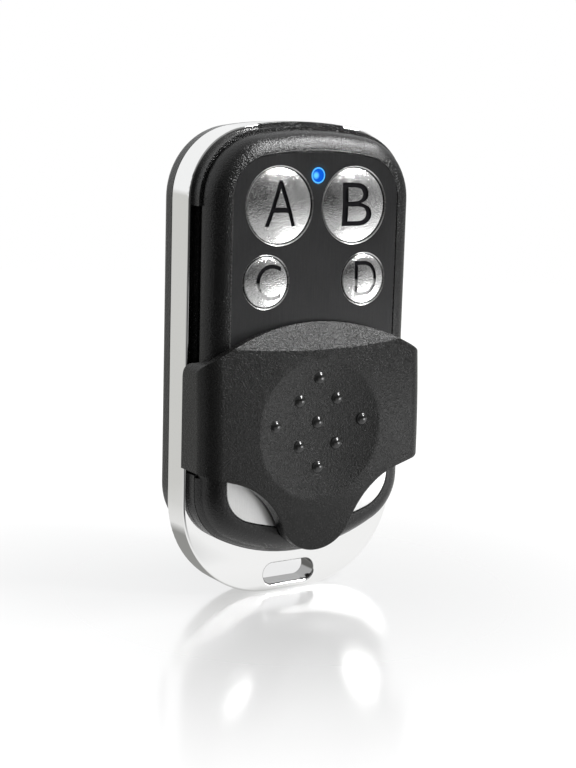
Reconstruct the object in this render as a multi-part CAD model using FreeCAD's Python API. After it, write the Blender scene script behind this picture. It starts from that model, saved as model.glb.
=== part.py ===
"""A four-button garage door remote with a sliding cover, in millimetres.

Every piece is drawn lying on its back: x across, y from the key-ring end to the top, z from the back
towards the buttons. stand_up() then stands it on its key-ring end, as it is stored: x across, z up, and
the buttons facing -y. The origin is under the middle of the remote, on the surface that it stands on.
"""

import FreeCAD, Part
import math
import os

V = FreeCAD.Vector

# Metal frame round the sides: its outline and its place in the thickness
FRAME_WIDTH = 33.0
FRAME_LENGTH = 62.5
FRAME_LOW_CORNER = 13.2
FRAME_LOW_ARC = 48.0
FRAME_HIGH_CORNER = 9.4
FRAME_HIGH_ARC = 54.0
FRAME_DEPTH = 4.4
FRAME_WALL = 1.6
FRAME_EDGE_RADIUS = 0.3
STAND_FLAT_WIDTH = 7.0
CHIN_HEIGHT = 7.3
OPENING_LOW_CORNER = 7.0
OPENING_LOW_ARC = 27.0

# Key-ring slot through the frame's chin
SLOT_WIDTH = 8.0
SLOT_HEIGHT = 2.9
SLOT_RIM = 0.9
SLOT_EDGE_RADIUS = 0.3
SLOT_RELIEF_DEPTH = 1.4
SLOT_RELIEF_MARGIN = 1.6
SLOT_RELIEF_RISE = 1.2

# Notch in the frame's front rim, and the housing's tab in it
NOTCH_WIDTH = 13.2
NOTCH_DEPTH = 0.35

# Back cover
BACK_DEPTH = 2.7
BACK_OVERHANG = 0.55
BACK_FLOOR = 1.2
BACK_EDGE_RADIUS = 1.5

# Front housing: a base that sits on the frame, and a crown with round edges
HOUSING_RIM = 0.6
HOUSING_LOW = 5.75
HOUSING_LOW_CORNER = 7.5
HOUSING_LOW_ARC = 26.1
BASE_HEIGHT = 1.6
CROWN_INSET = 0.45
CROWN_HEIGHT = 2.7
CROWN_EDGE_RADIUS = 2.6
ROOF_WALL = 1.0
CAVITY_INSET = 2.4
SPIGOT_DEPTH = 1.7
SPIGOT_WALL = 1.0
SPIGOT_CLEARANCE = 0.1
LIP_WALL = 0.8

# Track down each side of the housing, where the sliding cover runs
TRACK_LOW = 17.6
TRACK_END_DROP = 10.65
HOOK_TRACK_LOW = 21.5

# Aluminium face plate
PLATE_THICKNESS = 0.4
PLATE_CLEARANCE = 0.08
PLATE_MARGIN = 2.7
PLATE_LOW = 9.7
PLATE_LOW_CORNER = 5.0
PLATE_LOW_ARC = 30.0
PLATE_HOLE_BEVEL = 0.12

# Buttons: large A and B over small C and D
LARGE_ROW_DROP = 10.53
LARGE_SIDE_MARGIN = 2.09
LARGE_MIDDLE_MARGIN = 0.76
SMALL_ROW_DROP = 20.15
SMALL_SIDE_MARGIN = 1.87
SMALL_RADIUS = 3.38
BUTTON_CLEARANCE = 0.15
BUTTON_RISE = 0.25
BUTTON_EDGE_DROP = 0.12
BUTTON_FLANGE_WIDTH = 0.45
BUTTON_FLANGE_THICKNESS = 0.75
BUTTON_FLANGE_GAP = 0.15
BUTTON_WALL = 0.8
BUTTON_POCKET_DEPTH = 1.3
BUTTON_STEM_RADIUS = 1.9
BUTTON_TRAVEL = 0.25

# Status light
LIGHT_ROW_DROP = 6.7
LIGHT_RADIUS = 1.1
LIGHT_CLEARANCE = 0.06
LIGHT_COLLAR = 0.2
LIGHT_COLLAR_THICKNESS = 0.7
LIGHT_DROP = 0.05
LIGHT_GAP = 0.15
LED_SIZE = (1.6, 0.8, 0.6)

# Circuit board and its four key switches
BOARD_THICKNESS = 1.2
BOARD_CLEARANCE = 0.3
BOARD_LOW = 20.7
SWITCH_SIDE = 6.0
SWITCH_BODY_HEIGHT = 3.5
SWITCH_PLUNGER_RADIUS = 1.75
SWITCH_PLUNGER_RISE = 0.8
SWITCH_PLUNGER_SUNK = 1.0
SWITCH_PLUNGER_CLEARANCE = 0.05
SWITCH_CORNER_PIN = 0.45
SWITCH_PLATE = 0.25
SWITCH_PLATE_INSET = 0.1
SWITCH_STUD_RISE = 0.2
SWITCH_BORE_ROOM = 0.1
PLUNGER_BEVEL = 0.15
PLUNGER_GAP = 0.1

# Posts that hold the board
POST_RADIUS = 0.9
POST_SIDE_MARGIN = 2.0
POST_DROPS = (7.3, 29.5)

# 12 V cylindrical battery across the key-ring end, and its contacts
BATTERY_RADIUS = 3.85
BATTERY_SIDE_ROOM = 2.8
BATTERY_NUB_RADIUS = 1.7
BATTERY_NUB_LENGTH = 0.4
BATTERY_EDGE_BEVEL = 0.35
BATTERY_ROW = 16.2
BATTERY_FLOOR_GAP = 0.2
BATTERY_BAY_CLEARANCE = 0.25
CRADLE_THICKNESS = 1.0
CRADLE_SPREAD = 6.5
CRADLE_HEIGHT = 1.6
CRADLE_CLEARANCE = 0.02
CONTACT_THICKNESS = 0.3
CONTACT_WIDTH = 5.4
CONTACT_LOW = 3.4
CONTACT_HIGH = 6.9
CONTACT_FOOT = 2.0
CONTACT_FOOT_WIDTH = 2.2
CONTACT_FOOT_LENGTH = 1.9
CONTACT_ROOM = 0.3

# Screws that hold the back cover to the housing: one at the top and two at the key-ring end
HIGH_SCREW_DROP = 3.55
LOW_SCREW_ROW = 10.3
LOW_SCREW_SPREAD = 7.6
SCREW_HEAD_RADIUS = 1.4
SCREW_HEAD_HEIGHT = 1.0
SCREW_HEAD_CLEARANCE = 0.15
SCREW_HEAD_BEVEL = 0.3
SCREW_SEAT = 1.35
SCREW_RADIUS = 0.8
SCREW_LENGTH = 6.0
SCREW_TIP_BEVEL = 0.35
SCREW_CLEARANCE = 0.02
SCREW_PASS_CLEARANCE = 0.15
SCREW_CROSS = (1.7, 0.36, 0.6)
BOSS_RADIUS = 1.5
BOSS_HOLE_DEPTH = 5.2
PILLAR_RADIUS = 2.3
PILLAR_TOP = 3.3

# Sliding cover
COVER_SIDE_CLEARANCE = 0.25
COVER_CREST = 2.55
COVER_CREST_ROW = 19.5
COVER_CROSS_RADIUS = 450.0
COVER_LENGTH_RADIUS = 150.0
COVER_CORNER_RADIUS = 2.6
COVER_WALL = 1.35
COVER_INNER_CORNER = 1.6
COVER_OVER_PLATE = 0.4
COVER_CREASE = 33.6
COVER_FACET_SLOPE = 0.35
COVER_TOP = 37.1
COVER_TOP_CORNER = 1.6
COVER_TOP_ARC = 31.35
COVER_LEG_LOW = 18.4
COVER_SHOULDER = (13.0, 17.2)
COVER_FLANK = (9.0, 14.3)
COVER_WAIST = (6.35, 10.6)
COVER_TIP = 6.9
COVER_FOOT_GAP = 0.2
RAKE_ROW = 32.9
RAKE_DROP = 0.6
RAKE_FOOT_RADIUS = 2.1
COVER_POCKET_LOW = 19.6
COVER_POCKET_HIGH = 32.2
COVER_POCKET_ROOF = 1.3
HOOK_LENGTH = 0.95
HOOK_HEIGHT = 1.05
HOOK_LOW = 22.0
HOOK_HIGH = 29.4
HOOK_CLEARANCE = 0.15
DISH_ROW = 23.9
DISH_DEPTH = 0.4
DISH_ACROSS_RADIUS = 83.0
DISH_ALONG_RADIUS = 52.0
DOT_RADIUS = 0.52
DOT_RISE = 0.42
DOT_EDGE_RADIUS = 0.31
DOT_STEP = (2.9, 3.0)
DOT_REACH = (6.85, 5.95)

# Small parts on the board
CHIP_SIZE = (3.9, 4.9, 1.5)
CHIP_PLACE = (0.0, 29.4)
CHIP_PIN_PITCH = 1.27
CHIP_PIN_COUNT = 4
CHIP_PIN = (1.05, 0.42, 0.2)
CHIP_LIFT = 0.1
RESONATOR_RADIUS = 2.3
RESONATOR_HEIGHT = 1.9
RESONATOR_ROW = 30.2
RESONATOR_BRIM = 0.3
RESONATOR_BRIM_THICKNESS = 0.4
COIL_ROW = 27.0
COIL_SIDE_MARGIN = 4.9
COIL_SIDE = 3.2
COIL_HEIGHT = 2.6
COIL_CORE_RADIUS = 1.1
COIL_CORE_RISE = 0.3
COIL_SLIT = 0.4
CHIP_PART_SIZE = (1.6, 0.8, 0.45)
CHIP_PART_SPREAD = 4.5
CHIP_PART_ROWS = (25.2, 27.2, 29.2)
CHIP_PART_DROPS = (14.9, 20.0, 22.0)
ANTENNA_WIRE = 0.5
ANTENNA_SPREAD = 4.4
ANTENNA_ROW = 22.6
ANTENNA_RISE = 2.2
ANTENNA_BEND = 1.0

# Heights that follow from the sizes above
FRAME_BACK = BACK_DEPTH
FRAME_FRONT = FRAME_BACK + FRAME_DEPTH
CROWN_START = FRAME_FRONT + BASE_HEIGHT
FACE = CROWN_START + CROWN_HEIGHT
ROOF = FACE - PLATE_THICKNESS - ROOF_WALL
BUTTON_SEAT = ROOF - BUTTON_FLANGE_GAP - BUTTON_FLANGE_THICKNESS
PLUNGER_TOP = BUTTON_SEAT - PLUNGER_GAP
SWITCH_TOP = PLUNGER_TOP - SWITCH_PLUNGER_RISE
BOARD_TOP = SWITCH_TOP - SWITCH_BODY_HEIGHT
BOARD_UNDER = BOARD_TOP - BOARD_THICKNESS
BATTERY_HEIGHT = BACK_FLOOR + BATTERY_FLOOR_GAP + BATTERY_RADIUS
COVER_INSIDE = FACE + COVER_OVER_PLATE
COVER_FRONT = FACE + COVER_CREST
COVER_FOOT = FRAME_FRONT + COVER_FOOT_GAP
THICKNESS = COVER_FRONT
JOIN = 0.3
BIG = 200.0
SMALL = 0.0001

# Widths that follow from the frame's
BATTERY_LENGTH = FRAME_WIDTH - 2 * BATTERY_SIDE_ROOM
CROWN_HALF = FRAME_WIDTH / 2 - HOUSING_RIM - CROWN_INSET
PLATE_HALF = CROWN_HALF - PLATE_MARGIN
COVER_INNER_HALF = CROWN_HALF + COVER_SIDE_CLEARANCE
COVER_HALF = COVER_INNER_HALF + COVER_WALL
HOOK_TIP = COVER_INNER_HALF - HOOK_LENGTH
BOARD_HALF = FRAME_WIDTH / 2 - FRAME_WALL - SPIGOT_CLEARANCE - SPIGOT_WALL - BOARD_CLEARANCE
LARGE_RADIUS = (PLATE_HALF - LARGE_SIDE_MARGIN - LARGE_MIDDLE_MARGIN) / 2
LARGE_SPREAD = LARGE_MIDDLE_MARGIN + LARGE_RADIUS
SMALL_SPREAD = PLATE_HALF - SMALL_SIDE_MARGIN - SMALL_RADIUS
COIL_PLACE = (BOARD_HALF - COIL_SIDE_MARGIN, COIL_ROW)
RESONATOR_PLACE = (COIL_SIDE_MARGIN - BOARD_HALF, RESONATOR_ROW)

# Rows that follow from the frame's length
LARGE_ROW = FRAME_LENGTH - LARGE_ROW_DROP
SMALL_ROW = FRAME_LENGTH - SMALL_ROW_DROP
LIGHT_ROW = FRAME_LENGTH - LIGHT_ROW_DROP
TRACK_HIGH = FRAME_LENGTH - TRACK_END_DROP

POST_SPREAD = BOARD_HALF - POST_SIDE_MARGIN
POST_PLACES = [(side * POST_SPREAD, FRAME_LENGTH - drop) for drop in POST_DROPS for side in (-1, 1)]
HIGH_SCREW = (0, FRAME_LENGTH - HIGH_SCREW_DROP)
SCREW_PLACES = [HIGH_SCREW, (-LOW_SCREW_SPREAD, LOW_SCREW_ROW), (LOW_SCREW_SPREAD, LOW_SCREW_ROW)]
CHIP_PART_PLACES = [(side * CHIP_PART_SPREAD, row) for row in CHIP_PART_ROWS for side in (-1, 1)]
CHIP_PART_PLACES += [(0, FRAME_LENGTH - drop) for drop in CHIP_PART_DROPS]
DOT_PLACES = [(0, 0)]
DOT_PLACES += [(0, side * DOT_REACH[1]) for side in (-1, 1)]
DOT_PLACES += [(side * DOT_REACH[0], 0) for side in (-1, 1)]
DOT_PLACES += [(i * DOT_STEP[0], j * DOT_STEP[1]) for i in (-1, 1) for j in (-1, 1)]
BUTTONS = {
    "a": (-LARGE_SPREAD, LARGE_ROW, LARGE_RADIUS),
    "b": (LARGE_SPREAD, LARGE_ROW, LARGE_RADIUS),
    "c": (-SMALL_SPREAD, SMALL_ROW, SMALL_RADIUS),
    "d": (SMALL_SPREAD, SMALL_ROW, SMALL_RADIUS),
}


def end_points(half, end, way, corner, arc):
    """A rounded end's side point, corner middle, joint of the two arcs, and tip."""
    across = half - corner
    arc_middle = end - way * arc
    corner_middle = arc_middle + way * math.sqrt((arc - corner) ** 2 - across**2)
    turn = math.atan2(corner_middle - arc_middle, across) * way
    joint = (arc * math.cos(turn), arc_middle + way * arc * math.sin(turn))
    half_turn = turn / 2
    bend = (across + corner * math.cos(half_turn), corner_middle + way * corner * math.sin(half_turn))
    return (half, corner_middle), bend, joint, (0.0, end)


class Outline:
    """A long rounded shape, even about x = 0, with two corners and a shallow arc at each end."""

    def __init__(self, half, low, high, low_corner, low_arc, high_corner, high_arc):
        self.half, self.low, self.high = half, low, high
        self.low_corner, self.low_arc = low_corner, low_arc
        self.high_corner, self.high_arc = high_corner, high_arc

    def inset(self, by):
        """The same shape with its whole edge moved inwards."""
        return Outline(
            self.half - by, self.low + by, self.high - by,
            self.low_corner - by, self.low_arc - by, self.high_corner - by, self.high_arc - by,
        )

    def prism(self, bottom, top):
        """The solid with this outline between two heights."""
        low = end_points(self.half, self.low, -1, self.low_corner, self.low_arc)
        high = end_points(self.half, self.high, 1, self.high_corner, self.high_arc)

        def at(point, side):
            return V(side * point[0], point[1], bottom)

        edges = [
            Part.LineSegment(at(low[0], 1), at(high[0], 1)),
            Part.Arc(at(high[0], 1), at(high[1], 1), at(high[2], 1)),
            Part.Arc(at(high[2], 1), at(high[3], 1), at(high[2], -1)),
            Part.Arc(at(high[2], -1), at(high[1], -1), at(high[0], -1)),
            Part.LineSegment(at(high[0], -1), at(low[0], -1)),
            Part.Arc(at(low[0], -1), at(low[1], -1), at(low[2], -1)),
            Part.Arc(at(low[2], -1), at(low[3], 1), at(low[2], 1)),
            Part.Arc(at(low[2], 1), at(low[1], 1), at(low[0], 1)),
        ]
        wire = Part.Wire([edge.toShape() for edge in edges])
        return Part.Face(wire).extrude(V(0, 0, top - bottom))


STAND_FLAT_SAG = FRAME_LOW_ARC - math.sqrt(FRAME_LOW_ARC**2 - (STAND_FLAT_WIDTH / 2) ** 2)
FRAME_OUTLINE = Outline(
    FRAME_WIDTH / 2, -STAND_FLAT_SAG, FRAME_LENGTH,
    FRAME_LOW_CORNER, FRAME_LOW_ARC, FRAME_HIGH_CORNER, FRAME_HIGH_ARC,
)
OPENING = Outline(
    FRAME_WIDTH / 2 - FRAME_WALL, CHIN_HEIGHT, FRAME_LENGTH - FRAME_WALL,
    OPENING_LOW_CORNER, OPENING_LOW_ARC, FRAME_HIGH_CORNER - FRAME_WALL, FRAME_HIGH_ARC - FRAME_WALL,
)
BASE = Outline(
    FRAME_WIDTH / 2 - HOUSING_RIM, HOUSING_LOW, FRAME_LENGTH - HOUSING_RIM,
    HOUSING_LOW_CORNER, HOUSING_LOW_ARC, FRAME_HIGH_CORNER - HOUSING_RIM, FRAME_HIGH_ARC - HOUSING_RIM,
)
CROWN = BASE.inset(CROWN_INSET)
PLATE = Outline(
    CROWN.half - PLATE_MARGIN, PLATE_LOW, CROWN.high - PLATE_MARGIN,
    PLATE_LOW_CORNER, PLATE_LOW_ARC,
    CROWN.high_corner - PLATE_MARGIN, CROWN.high_arc - PLATE_MARGIN,
)
CAVITY = BASE.inset(CAVITY_INSET)
SPIGOT = OPENING.inset(SPIGOT_CLEARANCE)


def box(x, y, z):
    """A block between two places on each axis."""
    return Part.makeBox(x[1] - x[0], y[1] - y[0], z[1] - z[0], V(x[0], y[0], z[0]))


def rod(place, radius, bottom, top):
    """An upright cylinder at a place on the face."""
    return Part.makeCylinder(radius, top - bottom, V(place[0], place[1], bottom))


def both_sides(solid):
    """A solid and its mirror image across x = 0."""
    return [solid, solid.mirror(V(0, 0, 0), V(1, 0, 0))]


def edges_at(solid, height):
    """The edges that lie flat at one height."""
    def level(edge):
        return max(abs(edge.BoundBox.ZMin - height), abs(edge.BoundBox.ZMax - height)) < SMALL

    return [e for e in solid.Edges if level(e)]


def turned(profile, place):
    """The solid that a closed profile of (radius, height) corners makes, turned about an upright axis."""
    points = [V(place[0] + r, place[1], h) for r, h in profile]
    wire = Part.makePolygon([*points, points[0]])
    return Part.Face(wire).revolve(V(place[0], place[1], 0), V(0, 0, 1), 360)


def slot_prism(width, height, middle, bottom, top):
    """A slot with round ends, lying across x."""
    radius = height / 2
    reach = width / 2 - radius
    ends = [rod((side * reach, middle), radius, bottom, top) for side in (-1, 1)]
    return box((-reach, reach), (middle - radius, middle + radius), (bottom, top)).fuse(ends).removeSplitter()


def stand_up(solid):
    """Stands a solid on the key-ring end, with the middle of its thickness over the origin."""
    moved = solid.copy()
    moved.translate(V(0, 0, -THICKNESS / 2))
    moved.rotate(V(0, 0, 0), V(1, 0, 0), 90)
    return moved


def save(node, *solids):
    """Writes one node's STEP file."""
    shapes = [stand_up(s) for s in solids]
    whole = shapes[0] if len(shapes) == 1 else Part.makeCompound(shapes)
    whole.exportStep(f"parts/{node}.step")


def make_frame():
    """The chromed metal frame: its chin and the flat it stands on, the key-ring slot, and the top notch."""
    ring = FRAME_OUTLINE.prism(FRAME_BACK, FRAME_FRONT)
    ring = ring.cut(box((-FRAME_WIDTH, FRAME_WIDTH), (-FRAME_WIDTH, 0), (0, BIG)))
    ring = ring.makeFillet(FRAME_EDGE_RADIUS, edges_at(ring, FRAME_FRONT) + edges_at(ring, FRAME_BACK))
    ring = ring.cut(OPENING.prism(FRAME_BACK - 1, FRAME_FRONT + 1))
    middle = SLOT_RIM + SLOT_HEIGHT / 2
    relief = slot_prism(
        SLOT_WIDTH + 2 * SLOT_RELIEF_MARGIN, SLOT_HEIGHT + 2 * SLOT_RELIEF_RISE, middle, FRAME_BACK - 1,
        FRAME_BACK + SLOT_RELIEF_DEPTH,
    )
    slot = slot_prism(SLOT_WIDTH, SLOT_HEIGHT, middle, FRAME_BACK, FRAME_FRONT + 1)
    notch = box((-NOTCH_WIDTH / 2, NOTCH_WIDTH / 2), (FRAME_LENGTH - FRAME_WALL - 1, FRAME_LENGTH + 1),
                (FRAME_FRONT - NOTCH_DEPTH, FRAME_FRONT + 1))
    ring = ring.cut([relief, slot, notch])
    mouth = [e for e in edges_at(ring, FRAME_FRONT)
             if e.BoundBox.YMax < CHIN_HEIGHT - 1 and abs(e.BoundBox.XMin) < SLOT_WIDTH]
    return ring.makeFillet(SLOT_EDGE_RADIUS, mouth)


def battery_bay():
    """The room that the housing leaves for the battery and its contacts."""
    half = BATTERY_LENGTH / 2 + CONTACT_THICKNESS + CONTACT_ROOM
    bay = Part.makeCylinder(BATTERY_RADIUS + BATTERY_BAY_CLEARANCE, 2 * half,
                            V(-half, BATTERY_ROW, BATTERY_HEIGHT), V(1, 0, 0))
    low = BATTERY_ROW - CONTACT_WIDTH / 2 - CONTACT_ROOM
    high = BOARD_LOW + CONTACT_FOOT_WIDTH + CONTACT_ROOM
    return bay.fuse(box((-half, half), (low, high), (FRAME_BACK, FRAME_FRONT - JOIN)))


def make_housing():
    """The front housing: base, round-edged crown, tracks, plate recess, spigot, posts and screw bosses."""
    crown = CROWN.prism(CROWN_START, FACE)
    crown = crown.makeFillet(CROWN_EDGE_RADIUS, edges_at(crown, FACE))
    body = BASE.prism(FRAME_FRONT, CROWN_START).fuse(crown).removeSplitter()
    tab_half = NOTCH_WIDTH / 2 - SPIGOT_CLEARANCE
    tab_floor = FRAME_FRONT - NOTCH_DEPTH + SPIGOT_CLEARANCE
    tab = FRAME_OUTLINE.inset(SPIGOT_CLEARANCE).prism(tab_floor, FRAME_FRONT)
    tab = tab.common(box((-tab_half, tab_half), (BASE.high - HOUSING_RIM - 1, FRAME_LENGTH), (0, FACE)))
    spigot = SPIGOT.prism(FRAME_FRONT - SPIGOT_DEPTH, FRAME_FRONT)
    body = body.fuse([tab, spigot])
    hollow = CAVITY.prism(FRAME_FRONT, ROOF)
    hollow = hollow.fuse(SPIGOT.inset(SPIGOT_WALL).prism(FRAME_FRONT - SPIGOT_DEPTH - 1, FRAME_FRONT))
    track = box((CROWN.half, BIG), (TRACK_LOW, TRACK_HIGH), (FRAME_FRONT, CROWN_START))
    hook_track = box((HOOK_TIP - HOOK_CLEARANCE, BIG), (HOOK_TRACK_LOW, TRACK_HIGH),
                     (FRAME_FRONT, CROWN_START))
    body = body.cut([hollow, battery_bay(), *both_sides(track), *both_sides(hook_track)])
    posts = [rod(p, POST_RADIUS, BOARD_TOP, ROOF + JOIN) for p in POST_PLACES]
    bosses = [rod(p, BOSS_RADIUS, PILLAR_TOP, ROOF + JOIN) for p in SCREW_PLACES]
    body = body.fuse(posts + bosses)
    cuts = [PLATE.prism(FACE - PLATE_THICKNESS, FACE + 1)]
    pilot = SCREW_RADIUS + SCREW_CLEARANCE
    cuts += [rod(p, pilot, PILLAR_TOP - 1, PILLAR_TOP + BOSS_HOLE_DEPTH) for p in SCREW_PLACES]
    cuts += [rod((x, y), radius, ROOF - 1, FACE) for x, y, radius in BUTTONS.values()]
    cuts += [rod((0, LIGHT_ROW), LIGHT_RADIUS, ROOF - 1, FACE)]
    return body.cut(cuts).removeSplitter()


def make_back_cover():
    """The black back cover, with its round edge, pillars, board posts and battery cradles."""
    outline = BASE.inset(-BACK_OVERHANG)
    shell = outline.prism(0, BACK_DEPTH)
    shell = shell.makeFillet(BACK_EDGE_RADIUS, edges_at(shell, 0))
    lip = SPIGOT.prism(BACK_DEPTH, PILLAR_TOP)
    inner = SPIGOT.inset(LIP_WALL)
    shell = shell.fuse(lip).cut([inner.prism(BACK_FLOOR, PILLAR_TOP + 1), battery_bay()])
    pillars = [rod(p, PILLAR_RADIUS, BACK_FLOOR - JOIN, PILLAR_TOP).common(SPIGOT.prism(0, PILLAR_TOP))
               for p in SCREW_PLACES]
    posts = [rod(p, POST_RADIUS, BACK_FLOOR - JOIN, BOARD_UNDER) for p in POST_PLACES]
    cradle = box((CRADLE_SPREAD - CRADLE_THICKNESS / 2, CRADLE_SPREAD + CRADLE_THICKNESS / 2),
                 (BATTERY_ROW - BATTERY_RADIUS, BATTERY_ROW + BATTERY_RADIUS),
                 (BACK_FLOOR - JOIN, BACK_FLOOR + CRADLE_HEIGHT))
    hollow = Part.makeCylinder(BATTERY_RADIUS + CRADLE_CLEARANCE, BIG,
                               V(-BIG / 2, BATTERY_ROW, BATTERY_HEIGHT), V(1, 0, 0))
    cradles = [c.cut(hollow) for c in both_sides(cradle)]
    shell = shell.fuse(pillars + posts + cradles)
    holes = [rod(p, SCREW_RADIUS + SCREW_PASS_CLEARANCE, -1, PILLAR_TOP + 1) for p in SCREW_PLACES]
    seats = [rod(p, SCREW_HEAD_RADIUS + SCREW_HEAD_CLEARANCE, -1, SCREW_SEAT) for p in SCREW_PLACES]
    return shell.cut(holes + seats).removeSplitter()


def make_plate():
    """The thin aluminium face plate, with holes for the buttons and the light."""
    plate = PLATE.inset(PLATE_CLEARANCE).prism(FACE - PLATE_THICKNESS, FACE)
    holes = [(x, y, radius) for x, y, radius in BUTTONS.values()] + [(0, LIGHT_ROW, LIGHT_RADIUS)]
    for x, y, radius in holes:
        bevel = turned([(0, FACE - PLATE_THICKNESS - 1), (radius, FACE - PLATE_THICKNESS - 1),
                        (radius, FACE - PLATE_HOLE_BEVEL), (radius + PLATE_HOLE_BEVEL, FACE),
                        (radius + PLATE_HOLE_BEVEL, FACE + 1), (0, FACE + 1)], (x, y))
        plate = plate.cut(bevel)
    return plate


def make_button(x, y, hole_radius):
    """One button: a shallow dome on a skirt, hollow round its stem, with a flange that keeps it in."""
    radius = hole_radius - BUTTON_CLEARANCE
    edge = FACE - BUTTON_EDGE_DROP
    flange = turned([(0, BUTTON_SEAT), (hole_radius + BUTTON_FLANGE_WIDTH, BUTTON_SEAT),
                     (hole_radius + BUTTON_FLANGE_WIDTH, BUTTON_SEAT + BUTTON_FLANGE_THICKNESS),
                     (radius, BUTTON_SEAT + BUTTON_FLANGE_THICKNESS), (radius, edge + 1),
                     (0, edge + 1)], (x, y))
    rise = BUTTON_RISE + BUTTON_EDGE_DROP
    ball = (radius**2 + rise**2) / (2 * rise)
    dome = Part.makeSphere(ball, V(x, y, FACE + BUTTON_RISE - ball))
    above = box((x - radius - 1, x + radius + 1), (y - radius - 1, y + radius + 1), (edge, FACE + 2))
    pocket = rod((x, y), radius - BUTTON_WALL, BUTTON_SEAT - 1, BUTTON_SEAT + BUTTON_POCKET_DEPTH)
    stem = rod((x, y), BUTTON_STEM_RADIUS, BUTTON_SEAT - 1, BUTTON_SEAT + BUTTON_POCKET_DEPTH)
    return flange.cut([above.cut(dome), pocket.cut(stem)])


def make_light_pipe():
    """The clear pin that carries the board's light up to the face plate."""
    radius = LIGHT_RADIUS - LIGHT_CLEARANCE
    foot = BOARD_TOP + LED_SIZE[2] + LIGHT_GAP
    pin = turned([(0, foot), (radius, foot), (radius, ROOF - LIGHT_COLLAR_THICKNESS),
                  (LIGHT_RADIUS + LIGHT_COLLAR, ROOF - LIGHT_COLLAR_THICKNESS),
                  (LIGHT_RADIUS + LIGHT_COLLAR, ROOF), (radius, ROOF),
                  (radius, FACE - LIGHT_DROP), (0, FACE - LIGHT_DROP)], (0, LIGHT_ROW))
    return pin


def make_board():
    """The circuit board, with a notch round the upper screw boss."""
    outline = SPIGOT.inset(SPIGOT_WALL + BOARD_CLEARANCE)
    board = outline.prism(BOARD_UNDER, BOARD_TOP)
    board = board.common(box((-BIG, BIG), (BOARD_LOW, BIG), (0, BIG)))
    notch_radius = BOSS_RADIUS + BOARD_CLEARANCE
    notch = rod(HIGH_SCREW, notch_radius, 0, BIG)
    above = box((-notch_radius, notch_radius), (HIGH_SCREW[1], BIG), (0, BIG))
    return board.cut([notch, above])


def make_switch(x, y):
    """A key switch's body: a square block with four pressed studs, and the bore that its plunger works in."""
    half = SWITCH_SIDE / 2
    body = box((x - half, x + half), (y - half, y + half), (BOARD_TOP, SWITCH_TOP - SWITCH_PLATE))
    inner = half - SWITCH_PLATE_INSET
    plate = box((x - inner, x + inner), (y - inner, y + inner), (SWITCH_TOP - SWITCH_PLATE, SWITCH_TOP))
    reach = half - 2 * SWITCH_CORNER_PIN
    stud_top = SWITCH_TOP + SWITCH_STUD_RISE
    studs = [rod((x + i * reach, y + j * reach), SWITCH_CORNER_PIN, SWITCH_TOP, stud_top)
             for i in (-1, 1) for j in (-1, 1)]
    bore_floor = SWITCH_TOP - SWITCH_PLUNGER_SUNK - BUTTON_TRAVEL - SWITCH_BORE_ROOM
    bore = rod((x, y), SWITCH_PLUNGER_RADIUS + SWITCH_PLUNGER_CLEARANCE, bore_floor, SWITCH_TOP + 1)
    return body.fuse([plate, *studs]).cut(bore).removeSplitter()


def make_plunger(x, y):
    """A key switch's round plunger."""
    plunger = rod((x, y), SWITCH_PLUNGER_RADIUS, SWITCH_TOP - SWITCH_PLUNGER_SUNK, PLUNGER_TOP)
    return plunger.makeChamfer(PLUNGER_BEVEL, edges_at(plunger, PLUNGER_TOP))


def make_battery():
    """The 12 V battery: a steel case with a small positive nub."""
    length = BATTERY_LENGTH - BATTERY_NUB_LENGTH
    start = -BATTERY_LENGTH / 2
    case = Part.makeCylinder(BATTERY_RADIUS, length, V(start, BATTERY_ROW, BATTERY_HEIGHT), V(1, 0, 0))
    rims = [e for e in case.Edges if e.BoundBox.XLength < SMALL]
    case = case.makeChamfer(BATTERY_EDGE_BEVEL, rims)
    nub = Part.makeCylinder(BATTERY_NUB_RADIUS, BATTERY_NUB_LENGTH + 1,
                            V(start + length - 1, BATTERY_ROW, BATTERY_HEIGHT), V(1, 0, 0))
    return case.fuse(nub).removeSplitter()


def make_contact():
    """The contact at the battery's right end: an upright leaf with a foot that is soldered to the board."""
    inner = BATTERY_LENGTH / 2
    low = BATTERY_ROW - CONTACT_WIDTH / 2
    high = BOARD_LOW + CONTACT_FOOT_WIDTH
    leaf = box((inner, inner + CONTACT_THICKNESS), (low, high), (CONTACT_LOW, CONTACT_HIGH))
    arm = (BATTERY_ROW + CONTACT_WIDTH / 2, high + 1)
    trim = box((inner - 1, inner + 1), arm, (BOARD_TOP + CONTACT_THICKNESS, CONTACT_HIGH + 1))
    under = box((inner - 1, inner + 1), arm, (CONTACT_LOW - 1, BOARD_TOP))
    foot = box((inner - CONTACT_FOOT, inner + CONTACT_THICKNESS), (high - CONTACT_FOOT_LENGTH, high),
               (BOARD_TOP, BOARD_TOP + CONTACT_THICKNESS))
    return leaf.cut([trim, under]).fuse(foot).removeSplitter()


def make_screw(place):
    """One small pan-head screw, head to the back, with a cross recess."""
    head_under = SCREW_SEAT
    head_top = SCREW_SEAT - SCREW_HEAD_HEIGHT
    head = rod(place, SCREW_HEAD_RADIUS, head_top, head_under)
    head = head.makeChamfer(SCREW_HEAD_BEVEL, edges_at(head, head_top))
    shank = rod(place, SCREW_RADIUS, head_under - JOIN, head_under + SCREW_LENGTH)
    shank = shank.makeChamfer(SCREW_TIP_BEVEL, edges_at(shank, head_under + SCREW_LENGTH))
    length, width, depth = SCREW_CROSS
    bars = [box((place[0] - a / 2, place[0] + a / 2), (place[1] - b / 2, place[1] + b / 2),
                (head_top - 1, head_top + depth)) for a, b in ((length, width), (width, length))]
    return head.fuse(shank).cut(bars).removeSplitter()


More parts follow.
